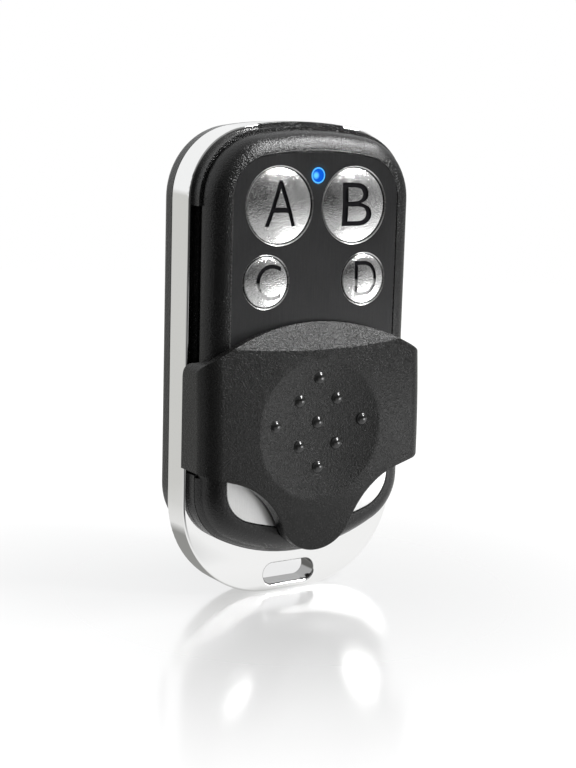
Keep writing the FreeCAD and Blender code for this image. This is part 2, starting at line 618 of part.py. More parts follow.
def cover_profile():
    """The cover's outer cross-section at its crest, as a face across x: a shallow crown over two legs."""
    side, bend, joint, crest = end_points(COVER_HALF, COVER_FRONT, 1, COVER_CORNER_RADIUS, COVER_CROSS_RADIUS)

    def at(point, sign):
        return V(sign * point[0], COVER_CREST_ROW, point[1])

    foot = (COVER_HALF, FRAME_FRONT - 2)
    edges = [
        Part.LineSegment(at(foot, 1), at(side, 1)),
        Part.Arc(at(side, 1), at(bend, 1), at(joint, 1)),
        Part.Arc(at(joint, 1), at(crest, 1), at(joint, -1)),
        Part.Arc(at(joint, -1), at(bend, -1), at(side, -1)),
        Part.LineSegment(at(side, -1), at(foot, -1)),
        Part.LineSegment(at(foot, -1), at(foot, 1)),
    ]
    return Part.Face(Part.Wire([e.toShape() for e in edges]))


def cover_outline():
    """The sliding cover seen from the front, as a prism: arched top, straight sides, and a tongue."""
    def at(point, side=1):
        return V(side * point[0], point[1], COVER_FOOT)

    side, bend, joint, crown = end_points(COVER_HALF, COVER_TOP, 1, COVER_TOP_CORNER, COVER_TOP_ARC)
    leg = (COVER_HALF, COVER_LEG_LOW)
    edges = [
        Part.LineSegment(at(leg), at(side)),
        Part.Arc(at(side), at(bend), at(joint)),
        Part.Arc(at(joint), at(crown), at(joint, -1)),
        Part.Arc(at(joint, -1), at(bend, -1), at(side, -1)),
        Part.LineSegment(at(side, -1), at(leg, -1)),
        Part.LineSegment(at(leg, -1), at(COVER_SHOULDER, -1)),
        Part.Arc(at(COVER_SHOULDER, -1), at(COVER_FLANK, -1), at(COVER_WAIST, -1)),
        Part.Arc(at(COVER_WAIST, -1), V(0, COVER_TIP, COVER_FOOT), at(COVER_WAIST)),
        Part.Arc(at(COVER_WAIST), at(COVER_FLANK), at(COVER_SHOULDER)),
        Part.LineSegment(at(COVER_SHOULDER), at(leg)),
    ]
    return Part.Face(Part.Wire([e.toShape() for e in edges])).extrude(V(0, 0, BIG / 2))


def swept_cover(drop):
    """The cover's cross-section swept along its lengthwise curve, lowered by a depth."""
    axis = V(0, COVER_CREST_ROW, COVER_FRONT - COVER_LENGTH_RADIUS)
    reach = math.degrees((COVER_TOP - COVER_TIP) / COVER_LENGTH_RADIUS)
    profile = cover_profile()
    profile.rotate(axis, V(1, 0, 0), -reach)
    body = profile.revolve(axis, V(1, 0, 0), 2 * reach)
    body.translate(V(0, 0, -drop))
    return body


def crest_height(x, y):
    """Height of the cover's face, before the dish, at a place."""
    fall = x**2 / COVER_CROSS_RADIUS + (y - COVER_CREST_ROW) ** 2 / COVER_LENGTH_RADIUS
    return COVER_FRONT - fall / 2


def facet_cut():
    """The wedge that slopes the cover's top end away from its crease."""
    crease_height = crest_height(0, COVER_CREASE)
    reach = COVER_TOP - COVER_CREASE + 2
    points = [V(-BIG / 2, COVER_CREASE - reach, crease_height + reach * COVER_FACET_SLOPE),
              V(-BIG / 2, COVER_CREASE + reach, crease_height - reach * COVER_FACET_SLOPE),
              V(-BIG / 2, COVER_CREASE + reach, BIG)]
    points.append(V(-BIG / 2, COVER_CREASE - reach, BIG))
    return Part.Face(Part.makePolygon([*points, points[0]])).extrude(V(BIG, 0, 0))


def leg_rake():
    """The cut that slopes the top ends of the cover's legs and rounds their feet."""
    x = -BIG / 2
    radius = RAKE_FOOT_RADIUS
    heel_row = RAKE_ROW - RAKE_DROP
    top = V(x, RAKE_ROW, COVER_INSIDE)
    heel = V(x, heel_row, COVER_FOOT + radius)
    slant = radius * (1 - math.sqrt(0.5))
    turn = V(x, heel_row - slant, COVER_FOOT + slant)
    toe = V(x, heel_row - radius, COVER_FOOT)
    edges = [Part.LineSegment(top, heel), Part.Arc(heel, turn, toe)]
    corners = [toe, V(x, heel_row - radius, 0), V(x, BIG / 2, 0), V(x, BIG / 2, COVER_INSIDE), top]
    edges += [Part.LineSegment(a, b) for a, b in zip(corners, corners[1:])]
    return Part.Face(Part.Wire([e.toShape() for e in edges])).extrude(V(BIG, 0, 0))


def make_cover():
    """The sliding cover: a crowned shell with a sloping top, raked legs, hooks, thumb dish and grip dots."""
    shell = swept_cover(0).common(cover_outline())
    inside = box((-COVER_INNER_HALF, COVER_INNER_HALF), (-BIG / 2, BIG / 2), (0, COVER_INSIDE))
    shoulders = [e for e in edges_at(inside, COVER_INSIDE) if e.BoundBox.YLength > BIG / 2]
    inside = inside.makeFillet(COVER_INNER_CORNER, shoulders)
    pocket_room = box((-COVER_INNER_HALF + COVER_INNER_CORNER, COVER_INNER_HALF - COVER_INNER_CORNER),
                      (COVER_POCKET_LOW, COVER_POCKET_HIGH), (COVER_INSIDE - JOIN, BIG))
    pocket = swept_cover(COVER_POCKET_ROOF).common(pocket_room)
    floor = crest_height(0, DISH_ROW) - DISH_DEPTH
    dish = Part.makeTorus(DISH_ACROSS_RADIUS - DISH_ALONG_RADIUS, DISH_ALONG_RADIUS,
                          V(0, DISH_ROW, floor + DISH_ACROSS_RADIUS), V(0, 1, 0))
    dish = dish.common(box((-COVER_HALF, COVER_HALF), (COVER_TIP, COVER_CREASE), (floor - 1, floor + 3)))
    shell = shell.cut([inside, pocket, facet_cut(), leg_rake(), dish])
    hook = box((HOOK_TIP, COVER_INNER_HALF + JOIN), (HOOK_LOW, HOOK_HIGH),
               (COVER_FOOT, COVER_FOOT + HOOK_HEIGHT))
    dots = [make_dot(x, y) for x, y in DOT_PLACES]
    return shell.fuse(both_sides(hook) + dots).removeSplitter()


def make_dot(x, y):
    """One round grip dot, standing up from the thumb dish."""
    row = DISH_ROW + y
    floor = crest_height(0, DISH_ROW) - DISH_DEPTH
    floor += x**2 / (2 * DISH_ACROSS_RADIUS) + y**2 / (2 * DISH_ALONG_RADIUS)
    surface = min(floor, crest_height(x, row))
    stem = rod((x, row), DOT_RADIUS, surface - JOIN, surface + DOT_RISE)
    return stem.makeFillet(DOT_EDGE_RADIUS, edges_at(stem, surface + DOT_RISE))


def make_chip():
    """The encoder chip: a moulded block with four leads down each side."""
    length, width, height = CHIP_SIZE
    x, y = CHIP_PLACE
    low = BOARD_TOP + CHIP_LIFT
    block = box((x - length / 2, x + length / 2), (y - width / 2, y + width / 2), (low, low + height))
    reach, across, thick = CHIP_PIN
    leads = []
    for row in range(CHIP_PIN_COUNT):
        middle = y + (row - (CHIP_PIN_COUNT - 1) / 2) * CHIP_PIN_PITCH
        lead = box((x + length / 2 - JOIN, x + length / 2 + reach),
                   (middle - across / 2, middle + across / 2),
                   (BOARD_TOP, BOARD_TOP + CHIP_LIFT + thick))
        leads.append(lead)
        leads.append(lead.mirror(V(x, 0, 0), V(1, 0, 0)))
    return block.fuse(leads).removeSplitter()


def make_resonator():
    """The round metal can of the radio's resonator, on its brim."""
    x, y = RESONATOR_PLACE
    brim_top = BOARD_TOP + RESONATOR_BRIM_THICKNESS
    top = BOARD_TOP + RESONATOR_HEIGHT
    return turned([(0, BOARD_TOP), (RESONATOR_RADIUS + RESONATOR_BRIM, BOARD_TOP),
                   (RESONATOR_RADIUS + RESONATOR_BRIM, brim_top), (RESONATOR_RADIUS, brim_top),
                   (RESONATOR_RADIUS, top), (0, top)], (x, y))


def make_coil():
    """The square tuning coil, with its slotted core."""
    x, y = COIL_PLACE
    half = COIL_SIDE / 2
    block = box((x - half, x + half), (y - half, y + half), (BOARD_TOP, BOARD_TOP + COIL_HEIGHT))
    top = BOARD_TOP + COIL_HEIGHT
    core = rod((x, y), COIL_CORE_RADIUS, top - JOIN, top + COIL_CORE_RISE)
    across = (x - COIL_CORE_RADIUS, x + COIL_CORE_RADIUS)
    slit = box(across, (y - COIL_SLIT / 2, y + COIL_SLIT / 2), (top, top + 1))
    return block.fuse(core).cut(slit).removeSplitter()


def make_block(size, place):
    """A small rectangular part standing on the board."""
    length, width, height = size
    return box((place[0] - length / 2, place[0] + length / 2), (place[1] - width / 2, place[1] + width / 2),
               (BOARD_TOP, BOARD_TOP + height))


def make_antenna():
    """The wire loop antenna: two legs in the board and a straight top."""
    radius = ANTENNA_WIRE / 2
    top = BOARD_TOP + ANTENNA_RISE
    half = ANTENNA_SPREAD
    bend = ANTENNA_BEND
    middle = bend * (1 - math.sqrt(0.5))
    foot, knee = V(-half, 0, BOARD_TOP), V(-half, 0, top - bend)
    turn, start = V(-half + middle, 0, top - middle), V(-half + bend, 0, top)

    def mirrored(point):
        return V(-point.x, point.y, point.z)

    edges = [
        Part.LineSegment(foot, knee),
        Part.Arc(knee, turn, start),
        Part.LineSegment(start, mirrored(start)),
        Part.Arc(mirrored(start), mirrored(turn), mirrored(knee)),
        Part.LineSegment(mirrored(knee), mirrored(foot)),
    ]
    path = Part.Wire([e.toShape() for e in edges])
    section = Part.Wire(Part.makeCircle(radius, foot, V(0, 0, 1)))
    loop = path.makePipeShell([section], True, False)
    loop.translate(V(0, ANTENNA_ROW, 0))
    return loop


def main():
    """Builds every piece and writes one STEP file for each node."""
    os.makedirs("parts", exist_ok=True)
    save("chrome_frame", make_frame())
    save("front_housing", make_housing())
    save("back_cover", make_back_cover())
    save("face_plate", make_plate())
    save("slide_cover", make_cover())
    for name, (x, y, radius) in BUTTONS.items():
        save(f"button_{name}", make_button(x, y, radius))
        save(f"switch_body_{name}", make_switch(x, y))
        save(f"switch_plunger_{name}", make_plunger(x, y))
    save("light_pipe", make_light_pipe())
    save("status_led", make_block(LED_SIZE, (0, LIGHT_ROW)))
    save("circuit_board", make_board())
    save("battery", make_battery())
    contact = make_contact()
    save("battery_contact_plus", contact)
    save("battery_contact_minus", contact.mirror(V(0, 0, 0), V(1, 0, 0)))
    save("encoder_chip", make_chip())
    save("resonator_can", make_resonator())
    save("tuning_coil", make_coil())
    save("chip_parts", *[make_block(CHIP_PART_SIZE, p) for p in CHIP_PART_PLACES])
    save("antenna_loop", make_antenna())
    save("back_screws", *[make_screw(p) for p in SCREW_PLACES])


main()
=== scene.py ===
"""Finishes and studio for a garage door remote with a sliding cover.

Sizes are metres in the frame's own axes: x across, z along the length from the key-ring end, and the buttons
facing -y. Shapes are drawn lying on their back, as face coordinates: x across, y along the length, and z out
of the face from the back cover. UPRIGHT turns them to the frame's axes.
"""

import math

import bmesh
import bpy
from bpy.props import FloatProperty, FloatVectorProperty, PointerProperty
from mathutils import Matrix, Vector


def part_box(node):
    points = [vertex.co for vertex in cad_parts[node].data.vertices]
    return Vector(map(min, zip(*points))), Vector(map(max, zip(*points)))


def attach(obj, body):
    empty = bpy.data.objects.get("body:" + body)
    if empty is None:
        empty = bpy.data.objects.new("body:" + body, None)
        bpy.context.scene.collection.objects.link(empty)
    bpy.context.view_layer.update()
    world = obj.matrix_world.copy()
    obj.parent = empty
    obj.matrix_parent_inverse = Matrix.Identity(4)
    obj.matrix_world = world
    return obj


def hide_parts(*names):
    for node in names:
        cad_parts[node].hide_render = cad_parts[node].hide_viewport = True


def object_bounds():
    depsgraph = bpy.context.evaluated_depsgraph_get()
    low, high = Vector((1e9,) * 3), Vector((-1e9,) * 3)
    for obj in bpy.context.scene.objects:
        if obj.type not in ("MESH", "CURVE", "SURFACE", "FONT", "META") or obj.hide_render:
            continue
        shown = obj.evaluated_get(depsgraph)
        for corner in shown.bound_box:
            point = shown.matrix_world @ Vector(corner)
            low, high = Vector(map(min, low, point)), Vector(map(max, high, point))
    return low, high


bl_info = {
    "name": "Garage Door Remote",
    "version": (1, 0, 0),
    "blender": (4, 5, 0),
    "location": "View3D > Sidebar > Remote",
    "description": "Finishes a garage door remote with a sliding cover and sets up its studio",
    "category": "Object",
}

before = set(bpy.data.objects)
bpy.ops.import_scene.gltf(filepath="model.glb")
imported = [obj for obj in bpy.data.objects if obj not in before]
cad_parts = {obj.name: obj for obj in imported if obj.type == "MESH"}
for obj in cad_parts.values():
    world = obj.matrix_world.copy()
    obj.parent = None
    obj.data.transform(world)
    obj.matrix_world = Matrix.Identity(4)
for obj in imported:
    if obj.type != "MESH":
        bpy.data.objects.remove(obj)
CAD_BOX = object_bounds()
MM = 0.001
MERGE = 0.001 * MM
BACK_PLANE = CAD_BOX[1].y
FACE_HEIGHT = BACK_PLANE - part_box("face_plate")[0].y
UPRIGHT = Matrix(((1, 0, 0, 0), (0, 0, -1, BACK_PLANE), (0, 1, 0, 0), (0, 0, 0, 1)))


def mm(*values):
    """Millimetres as metres."""
    return tuple(value * MM for value in values)


def length(name, millimetres, description):
    """A length property, given in millimetres and kept in metres."""
    return FloatProperty(
        name=name, description=description, default=millimetres * MM, unit="LENGTH", precision=5)


def number(name, value, description):
    """A plain number property."""
    return FloatProperty(name=name, description=description, default=value)


def angle(name, degrees, description):
    """An angle property, given in degrees."""
    return FloatProperty(name=name, description=description, default=math.radians(degrees), subtype="ANGLE")


def colour(name, value, description):
    """A colour property."""
    return FloatVectorProperty(
        name=name, description=description, default=value, subtype="COLOR", min=0, max=1)


class RemoteFinishes(bpy.types.PropertyGroup):
    """Colours and grain of the remote's surfaces."""

    chrome: colour("Chrome", (0.9, 0.9, 0.895), "Plating on the frame and the buttons")
    housing: colour("Housing", (0.003, 0.003, 0.003), "Moulded front housing and back cover")
    cover: colour("Cover", (0.005, 0.005, 0.0048), "Moulded sliding cover")
    plate_dark: colour("Dark plate", (0.012, 0.012, 0.0124), "Anodised upper part of the face plate")
    plate_bare: colour("Bare plate", (0.68, 0.68, 0.675), "Satin lower part of the plate, and its bevels")
    # Black of the letters: ink, and painted shade in the engravings
    ink_and_shade: colour("Letter ink", (0.004, 0.004, 0.005), "Paint at the bottom of the engraved letters")
    # Also the colour of the painted glow on the plate round the status light
    light_core: colour("Light core", (0.16, 0.68, 1.0), "Glowing spot and rim of the status light")
    light_deep: colour("Deep light", (0.0, 0.045, 0.30), "Darker blue between the light's spot and rim")
    grain: length("Grain", 0.22, "Size of the moulded grain")
    grain_depth: length("Grain depth", 0.068, "Height of the moulded grain")
    plate_division: length("Plate division", 30.0, "Height at which the plate's dark finish ends")


class RemoteSizes(bpy.types.PropertyGroup):
    """Sizes of the fine detail."""

    plate_bevel: length("Plate bevel", 0.12, "Bare bevel round the face plate and its holes")
    button_rise: length("Button rise", 0.25, "Height of a button's middle above the face plate")
    button_tilt: angle("Button tilt", 9.7, "Slope of a button's dome at its edge")
    button_round: length("Button edge radius", 0.14, "Rounding of a button's edge")
    letter_depth: length("Letter depth", 0.34, "Depth of the engraving")
    cover_bevel: length("Cover bevel", 0.12, "Bevel along the edge of the sliding cover's tongue")
    dish_radius: length("Dish radius", 9.3, "Radius of the thumb dish in the sliding cover")
    dish_depth: length("Dish depth", 0.95, "Depth of the thumb dish")
    dot_radius: length("Dot radius", 0.82, "Radius of a grip dot")
    dot_rise: length("Dot rise", 0.42, "Height of a grip dot")


class RemoteStudio(bpy.types.PropertyGroup):
    """Camera and lights."""

    yaw: angle("Yaw", 33.01, "How far the camera stands to the left of the buttons' axis")
    elevation: angle("Elevation", 9.84, "How far the camera looks down")
    roll: angle("Roll", 1.63, "Turn of the camera about its own axis")
    distance: length("Distance", 200.0, "From the camera to the plane of the point it turns about")
    side_shift: length("Side shift", 3.58, "Camera's sideways place")
    height_shift: length("Height shift", 14.94, "Camera's upward place")
    pivot_height: length("Pivot height", 43.97, "Height on the face of the point the camera turns about")
    focal_length: number("Focal length", 72.8, "Lens in millimetres on a 36 mm sensor")
    floor_radius: length("Floor radius", 420.0, "Size of the white table top")
    key_power: number("Key lamp", 4.4, "Power in watts of the lamp overhead")
    fill_power: number("Front lamp", 3.2, "Power in watts of the lamp in front")
    low_power: number("Low lamp", 0.016, "Power in watts of the small lamp on the table")
    sky: number("Sky", 0.4, "Strength of the even light from all round")


# Outlines and meshes


class Outline:
    """A long rounded shape, even about x = 0, with two corners and a shallow arc at each end."""

    def __init__(self, half, low, high, low_corner, low_arc, high_corner, high_arc):
        self.half, self.low, self.high = half, low, high
        self.low_corner, self.low_arc = low_corner, low_arc
        self.high_corner, self.high_arc = high_corner, high_arc

    def inset(self, by):
        """The same shape with its whole edge moved inwards."""
        return Outline(
            self.half - by, self.low + by, self.high - by,
            self.low_corner - by, self.low_arc - by, self.high_corner - by, self.high_arc - by,
        )

    def ring(self, steps=20):
        """Points round the outline, from the right side anticlockwise."""
        points = []
        for way, end, corner, bow in ((1, self.high, self.high_corner, self.high_arc),
                                      (-1, self.low, self.low_corner, self.low_arc)):
            across = self.half - corner
            rise = math.sqrt((bow - corner) ** 2 - across**2)
            turn = math.atan2(rise, across)
            middle = end - way * bow
            runs = [
                (way * across, middle + way * rise, corner, 0, turn),
                (0, middle, bow, turn, math.pi - turn),
                (-way * across, middle + way * rise, corner, math.pi - turn, math.pi),
            ]
            start = 0 if way > 0 else math.pi
            for x, y, radius, first, last in runs:
                for i in range(steps + 1):
                    bend = start + first + (last - first) * i / steps
                    points.append((x + radius * math.cos(bend), y + radius * math.sin(bend)))
        return [p for p, q in zip(points, points[1:] + points[:1]) if math.dist(p, q) > MERGE]


def circle(place, radius, height, steps=96):
    """A level ring of points."""
    turns = [2 * math.pi * i / steps for i in range(steps)]
    return [(place[0] + radius * math.cos(t), place[1] + radius * math.sin(t), height) for t in turns]


def arc(first, middle, last, steps):
    """Points from one point to another along the arc through a third."""
    ax, ay = first
    bx, by = middle
    cx, cy = last
    double = 2 * (ax * (by - cy) + bx * (cy - ay) + cx * (ay - by))
    a, b, c = ax**2 + ay**2, bx**2 + by**2, cx**2 + cy**2
    x = (a * (by - cy) + b * (cy - ay) + c * (ay - by)) / double
    y = (a * (cx - bx) + b * (ax - cx) + c * (bx - ax)) / double
    start = math.atan2(ay - y, ax - x)
    turn = (math.atan2(cy - y, cx - x) - start + math.pi) % (2 * math.pi) - math.pi
    radius = math.dist((x, y), first)
    bends = [start + turn * i / steps for i in range(steps + 1)]
    return [(x + radius * math.cos(bend), y + radius * math.sin(bend)) for bend in bends]


def loft(mesh, rings, band=False):
    """Adds the closed skin that joins rings of points: with flat ends, or as a band back to the first."""
    rows = [[mesh.verts.new(p) for p in ring] for ring in rings]
    count = len(rows[0])
    for low, high in zip(rows, rows[1:] + (rows[:1] if band else [])):
        for i in range(count):
            j = (i + 1) % count
            mesh.faces.new((low[i], low[j], high[j], high[i]))
    if not band:
        mesh.faces.new(tuple(reversed(rows[0])))
        mesh.faces.new(tuple(rows[-1]))


def link(name, data):
    """An object for a mesh or other data, in the scene."""
    item = bpy.data.objects.new(name, data)
    bpy.context.scene.collection.objects.link(item)
    return item


def new_object(name, mesh):
    """An object for a bmesh, which is freed."""
    data = bpy.data.meshes.new(name)
    mesh.to_mesh(data)
    mesh.free()
    return link(name, data)


def solid(name, rings):
    """An object made of lofted rings."""
    mesh = bmesh.new()
    loft(mesh, rings)
    return new_object(name, mesh)


def finished_mesh(item):
    """An object's mesh after its modifiers."""
    depsgraph = bpy.context.evaluated_depsgraph_get()
    return bpy.data.meshes.new_from_object(item.evaluated_get(depsgraph), depsgraph=depsgraph)


def apply_modifiers(item):
    """Replaces an object's mesh with its finished one."""
    old, new = item.data, finished_mesh(item)
    item.modifiers.clear()
    item.data = new
    bpy.data.meshes.remove(old)


def carve(item, cutter):
    """Cuts one object out of another, and deletes the cutter."""
    cut = item.modifiers.new("cut", "BOOLEAN")
    cut.operation = "DIFFERENCE"
    cut.solver = "EXACT"
    cut.object = cutter
    apply_modifiers(item)
    used = cutter.data
    bpy.data.objects.remove(cutter)
    bpy.data.meshes.remove(used)


def smooth(item, degrees):
    """Shades an object smooth, but for edges that bend by more than a limit."""
    mesh = bmesh.new()
    mesh.from_mesh(item.data)
    for face in mesh.faces:
        face.smooth = True
    for edge in mesh.edges:
        edge.smooth = edge.is_manifold and edge.calc_face_angle(math.pi) < math.radians(degrees)
    mesh.to_mesh(item.data)
    mesh.free()


def even_shading(item):
    """Weights an object's shading by the size of its faces, so that flats stay flat."""
    weigh = item.modifiers.new("shading", "WEIGHTED_NORMAL")
    weigh.keep_sharp = True
    weigh.weight = 100
    apply_modifiers(item)


def copy_of(node, name):
    """A merged copy of a CAD node, as an object of its own."""
    mesh = bmesh.new()
    mesh.from_mesh(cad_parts[node].data)
    bmesh.ops.remove_doubles(mesh, verts=mesh.verts, dist=MERGE)
    bmesh.ops.dissolve_degenerate(mesh, edges=mesh.edges, dist=MERGE)
    return new_object(name, mesh)


def hand_in(item, body, nodes, slot, *materials):
    """Gives a finished piece its materials, and puts it in the place of CAD nodes, if it replaces any."""
    for material in materials:
        item.data.materials.append(material)
    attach(item, body)
    if nodes:
        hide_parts(*nodes)


def paint_node(node, material):
    """Gives a CAD node a material."""
    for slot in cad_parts[node].material_slots:
        slot.material = material


# Node trees


def scaled(tone, by, plus=0.0):
    """A colour made paler or darker."""
    return tuple(value * by + plus for value in tone)


class Nodes:
    """A node tree, with short ways to add to it."""

    def __init__(self, tree):
        self.tree = tree

    def node(self, kind, sockets=(), **settings):
        """A new node with its settings, and a link or a value for each socket, by its name or number."""
        node = self.tree.nodes.new(kind)
        for name, value in settings.items():
            setattr(node, name, value)
        for name, value in dict(sockets).items():
            socket = node.inputs[name]
            if isinstance(value, bpy.types.NodeSocket):
                self.tree.links.new(value, socket)
            else:
                socket.default_value = (*value, 1) if socket.type == "RGBA" else value
        return node

    def add(self, kind, sockets=(), output=0, **settings):
        """An output of a new node."""
        return self.node(kind, sockets, **settings).outputs[output]

    def maths(self, operation, *values):
        """Arithmetic on numbers."""
        return self.add("ShaderNodeMath", enumerate(values), operation=operation)


class Shades(Nodes):
    """A shader tree, whose place is a point on the object itself or a direction in the world."""

    def __init__(self, tree, coordinates="Object"):
        super().__init__(tree)
        tree.nodes.clear()
        self.place = self.add("ShaderNodeTexCoord", output=coordinates)

    def axis(self, name):
        """One coordinate of the place."""
        return self.add("ShaderNodeSeparateXYZ", {"Vector": self.place}, output=name)

    def vector(self, operation, *values, output="Vector"):
        """Arithmetic on vectors."""
        return self.add("ShaderNodeVectorMath", enumerate(values), output, operation=operation)

    def away(self, centre):
        """How far the place is from a point."""
        return self.vector("DISTANCE", self.place, centre, output="Value")

    def noise(self, grain, detail=2.0, roughness=0.5, stretch=None):
        """Noise whose lumps are about one grain wide, and longer where the stretch is below 1."""
        place = self.place
        if stretch:
            place = self.add("ShaderNodeMapping", {"Vector": place, "Scale": stretch})
        sockets = {"Vector": place, "Scale": 1 / grain, "Detail": detail, "Roughness": roughness}
        return self.add("ShaderNodeTexNoise", sockets)

    def spread(self, value, low, high, start=0.3, end=0.7):
        """A value moved from one range to another."""
        sockets = {"Value": value, "From Min": start, "From Max": end, "To Min": low, "To Max": high}
        return self.add("ShaderNodeMapRange", sockets)

    def fade(self, value, start=0.3, end=0.7):
        """0 to 1 as a value goes from one bound to another."""
        return self.spread(value, 0.0, 1.0, start, end)

    def tone(self, factor, first, second):
        """A colour between two."""
        return self.add("ShaderNodeMix", {0: factor, 6: first, 7: second}, output=2, data_type="RGBA")

    def between(self, factor, first, second):
        """A number between two."""
        return self.add("ShaderNodeMix", {0: factor, 2: first, 3: second})

    def choose(self, factor, first, second):
        """A mix of two shaders."""
        return self.add("ShaderNodeMixShader", {0: factor, 1: first, 2: second})

    def overlaid(self, tone, *layers):
        """A colour under layers, each of a strength and a colour."""
        for strength, over in layers:
            tone = self.tone(strength, tone, over)
        return tone

    def towards_camera(self, start, end):
        """0 to 1 as the place's level direction turns to the camera's side, between two cosines."""
        unit = self.vector("NORMALIZE", self.vector("MULTIPLY", self.place, (1, 1, 0)))
        return self.fade(self.vector("DOT_PRODUCT", unit, CAMERA_WAY, output="Value"), start, end)

    def rays(self):
        """1 for rays that show the surface itself: straight to the camera, and mirrored or through glass."""
        path = self.node("ShaderNodeLightPath").outputs
        mirrored = self.maths("MAXIMUM", path["Is Glossy Ray"], path["Is Transmission Ray"])
        return path["Is Camera Ray"], mirrored


class Finish(Shades):
    """A new material."""

    def __init__(self, name):
        self.material = bpy.data.materials.new(name)
        self.material.use_nodes = True
        super().__init__(self.material.node_tree)

    def end(self, surface):
        """The material, with its surface."""
        self.node("ShaderNodeOutputMaterial", {"Surface": surface})
        return self.material

    def surface(self, sockets, height=None, depth=0.0):
        """The material, with a surface of these values and bumps from a height of 0 to 1."""
        if height is not None:
            bump = self.add("ShaderNodeBump", {"Height": height, "Distance": depth, "Strength": 1})
            sockets = {**sockets, "Normal": bump}
        return self.end(self.add("ShaderNodeBsdfPrincipled", sockets))


# Materials

# Where the key-ring slot lies, for the painted shade inside it
SLOT_ROW, SLOT_REACH = mm(2.35, 2.55)
SLOT_WALL = mm(1.58, 1.48)
CHROME_RIPPLE, POLISHING_MARK = mm(5, 0.1)
FROST_LUMP, FROST_SPECK, FROST_DEPTH = mm(0.13, 0.11, 0.017)
BRUSH_MARK, DUST, DIVISION_BLUR = mm(0.09, 0.25, 0.05)
TRACK_PITCH = 3.2 * MM


def moulded_plastic(name, base, roughness, shine, grain, depth):
    """Black moulded plastic with a fine leather-like grain and paler specks."""
    finish = Finish(name)
    lumps = finish.noise(grain, 1.0)
    fine = finish.noise(0.5 * grain, 1.0)
    worn = finish.between(0.6, finish.noise(9 * MM), lumps)
    return finish.surface({
        "Base Color": finish.tone(finish.fade(fine, 0.45, 0.75), base, scaled(base, 1.6, 0.002)),
        "Roughness": finish.spread(worn, roughness - 0.07, roughness + 0.09),
        "Specular IOR Level": shine,
    }, finish.between(0.3, lumps, fine), depth)


def polished_chrome(name, base):
    """Mirror-bright plating with a faint ripple and fine polishing marks, and painted shade darkening it in
    the key-ring slot.
    """
    finish = Finish(name)
    across = finish.vector("ABSOLUTE", finish.vector("SUBTRACT", finish.place, (0, 0, SLOT_ROW)))
    past = finish.vector("MAXIMUM", finish.vector("SUBTRACT", across, (SLOT_REACH, 1, 0)), (0, 0, 0))
    # Painted shade: the plating's colour is darker inside the key-ring slot
    slot_shade = finish.fade(finish.vector("LENGTH", past, output="Value"), *SLOT_WALL)
    return finish.surface({
        "Base Color": finish.tone(slot_shade, base, scaled(base, 0.42)),
        "Metallic": 1,
        "Roughness": finish.spread(finish.noise(POLISHING_MARK, stretch=(1, 1, 0.08)), 0.03, 0.1),
    }, finish.noise(CHROME_RIPPLE, 1.0), 0.02 * MM)


def frosted_chrome(name, base):
    """Plating over a grained surface, which glitters."""
    finish = Finish(name)
    specks = finish.fade(finish.noise(FROST_SPECK, 0.0), 0.32, 0.5)
    return finish.surface({
        "Base Color": finish.tone(specks, scaled(base, 0.62), base),
        "Metallic": 1,
        "Roughness": finish.spread(finish.noise(2 * MM), 0.13, 0.19),
    }, finish.noise(FROST_LUMP, 0.0), FROST_DEPTH)


def anodised_plate(name, dark, bare, division, light, glow):
    """Aluminium with vertical brush marks: anodised black above a division, and bare satin below it.

    A painted glow in the light's own colour makes the plate shine round the status light.
    """
    finish = Finish(name)
    brushed = finish.noise(BRUSH_MARK, 3.0, 0.6, stretch=(1, 1, 0.03))
    marks = finish.between(0.35, brushed, finish.noise(DUST, 3.0, 0.7))
    pale = finish.fade(marks)
    cloud = finish.noise(7 * MM)
    above = finish.fade(finish.axis("Z"), division - DIVISION_BLUR, division + DIVISION_BLUR)
    # Painted glow: the plate itself emits light round the status light
    painted_halo = finish.spread(finish.away(light), 0.14, 0.0, LIGHT_HOLE, 1.9 * LIGHT_HOLE)
    return finish.surface({
        "Base Color": finish.tone(above, finish.tone(pale, scaled(bare, 0.88), bare),
                                  finish.tone(pale, dark, scaled(dark, 1.7, 0.002))),
        "Roughness": finish.between(above, finish.spread(cloud, 0.26, 0.34),
                                    finish.spread(cloud, 0.30, 0.38)),
        "Metallic": finish.between(above, 1.0, 0.55),
        "Emission Color": glow,
        "Emission Strength": finish.maths("MULTIPLY", painted_halo, painted_halo),
    }, marks, 0.002 * MM)


def bare_edge(name, base):
    """Freshly cut bright aluminium."""
    finish = Finish(name)
    cuts = finish.noise(0.12 * MM)
    return finish.surface({
        "Base Color": finish.tone(cuts, scaled(base, 0.85), base),
        "Metallic": 1,
        "Roughness": finish.spread(cuts, 0.2, 0.35),
    }, cuts, 0.004 * MM)


def letter_ink_and_shade(name, ink_and_shade, metal, start, end):
    """Black at the bottom of a letter, partly ink and partly painted shade of the engraving: dark above,
    giving way to the plating lower down between two heights.
    """
    finish = Finish(name)
    patchy = finish.noise(0.5 * MM)
    # Painted shade: the letter is dark above a height and bare plating below it
    dark_share = finish.fade(finish.maths("MULTIPLY_ADD", patchy, 0.4 * MM, finish.axis("Z")), start, end)
    return finish.surface({
        "Base Color": finish.tone(dark_share, metal, ink_and_shade),
        "Metallic": finish.between(dark_share, 1.0, 0.0),
        "Roughness": finish.between(dark_share, 0.15, 0.8),
        "Specular IOR Level": 0.1,
    }, patchy, 0.01 * MM)


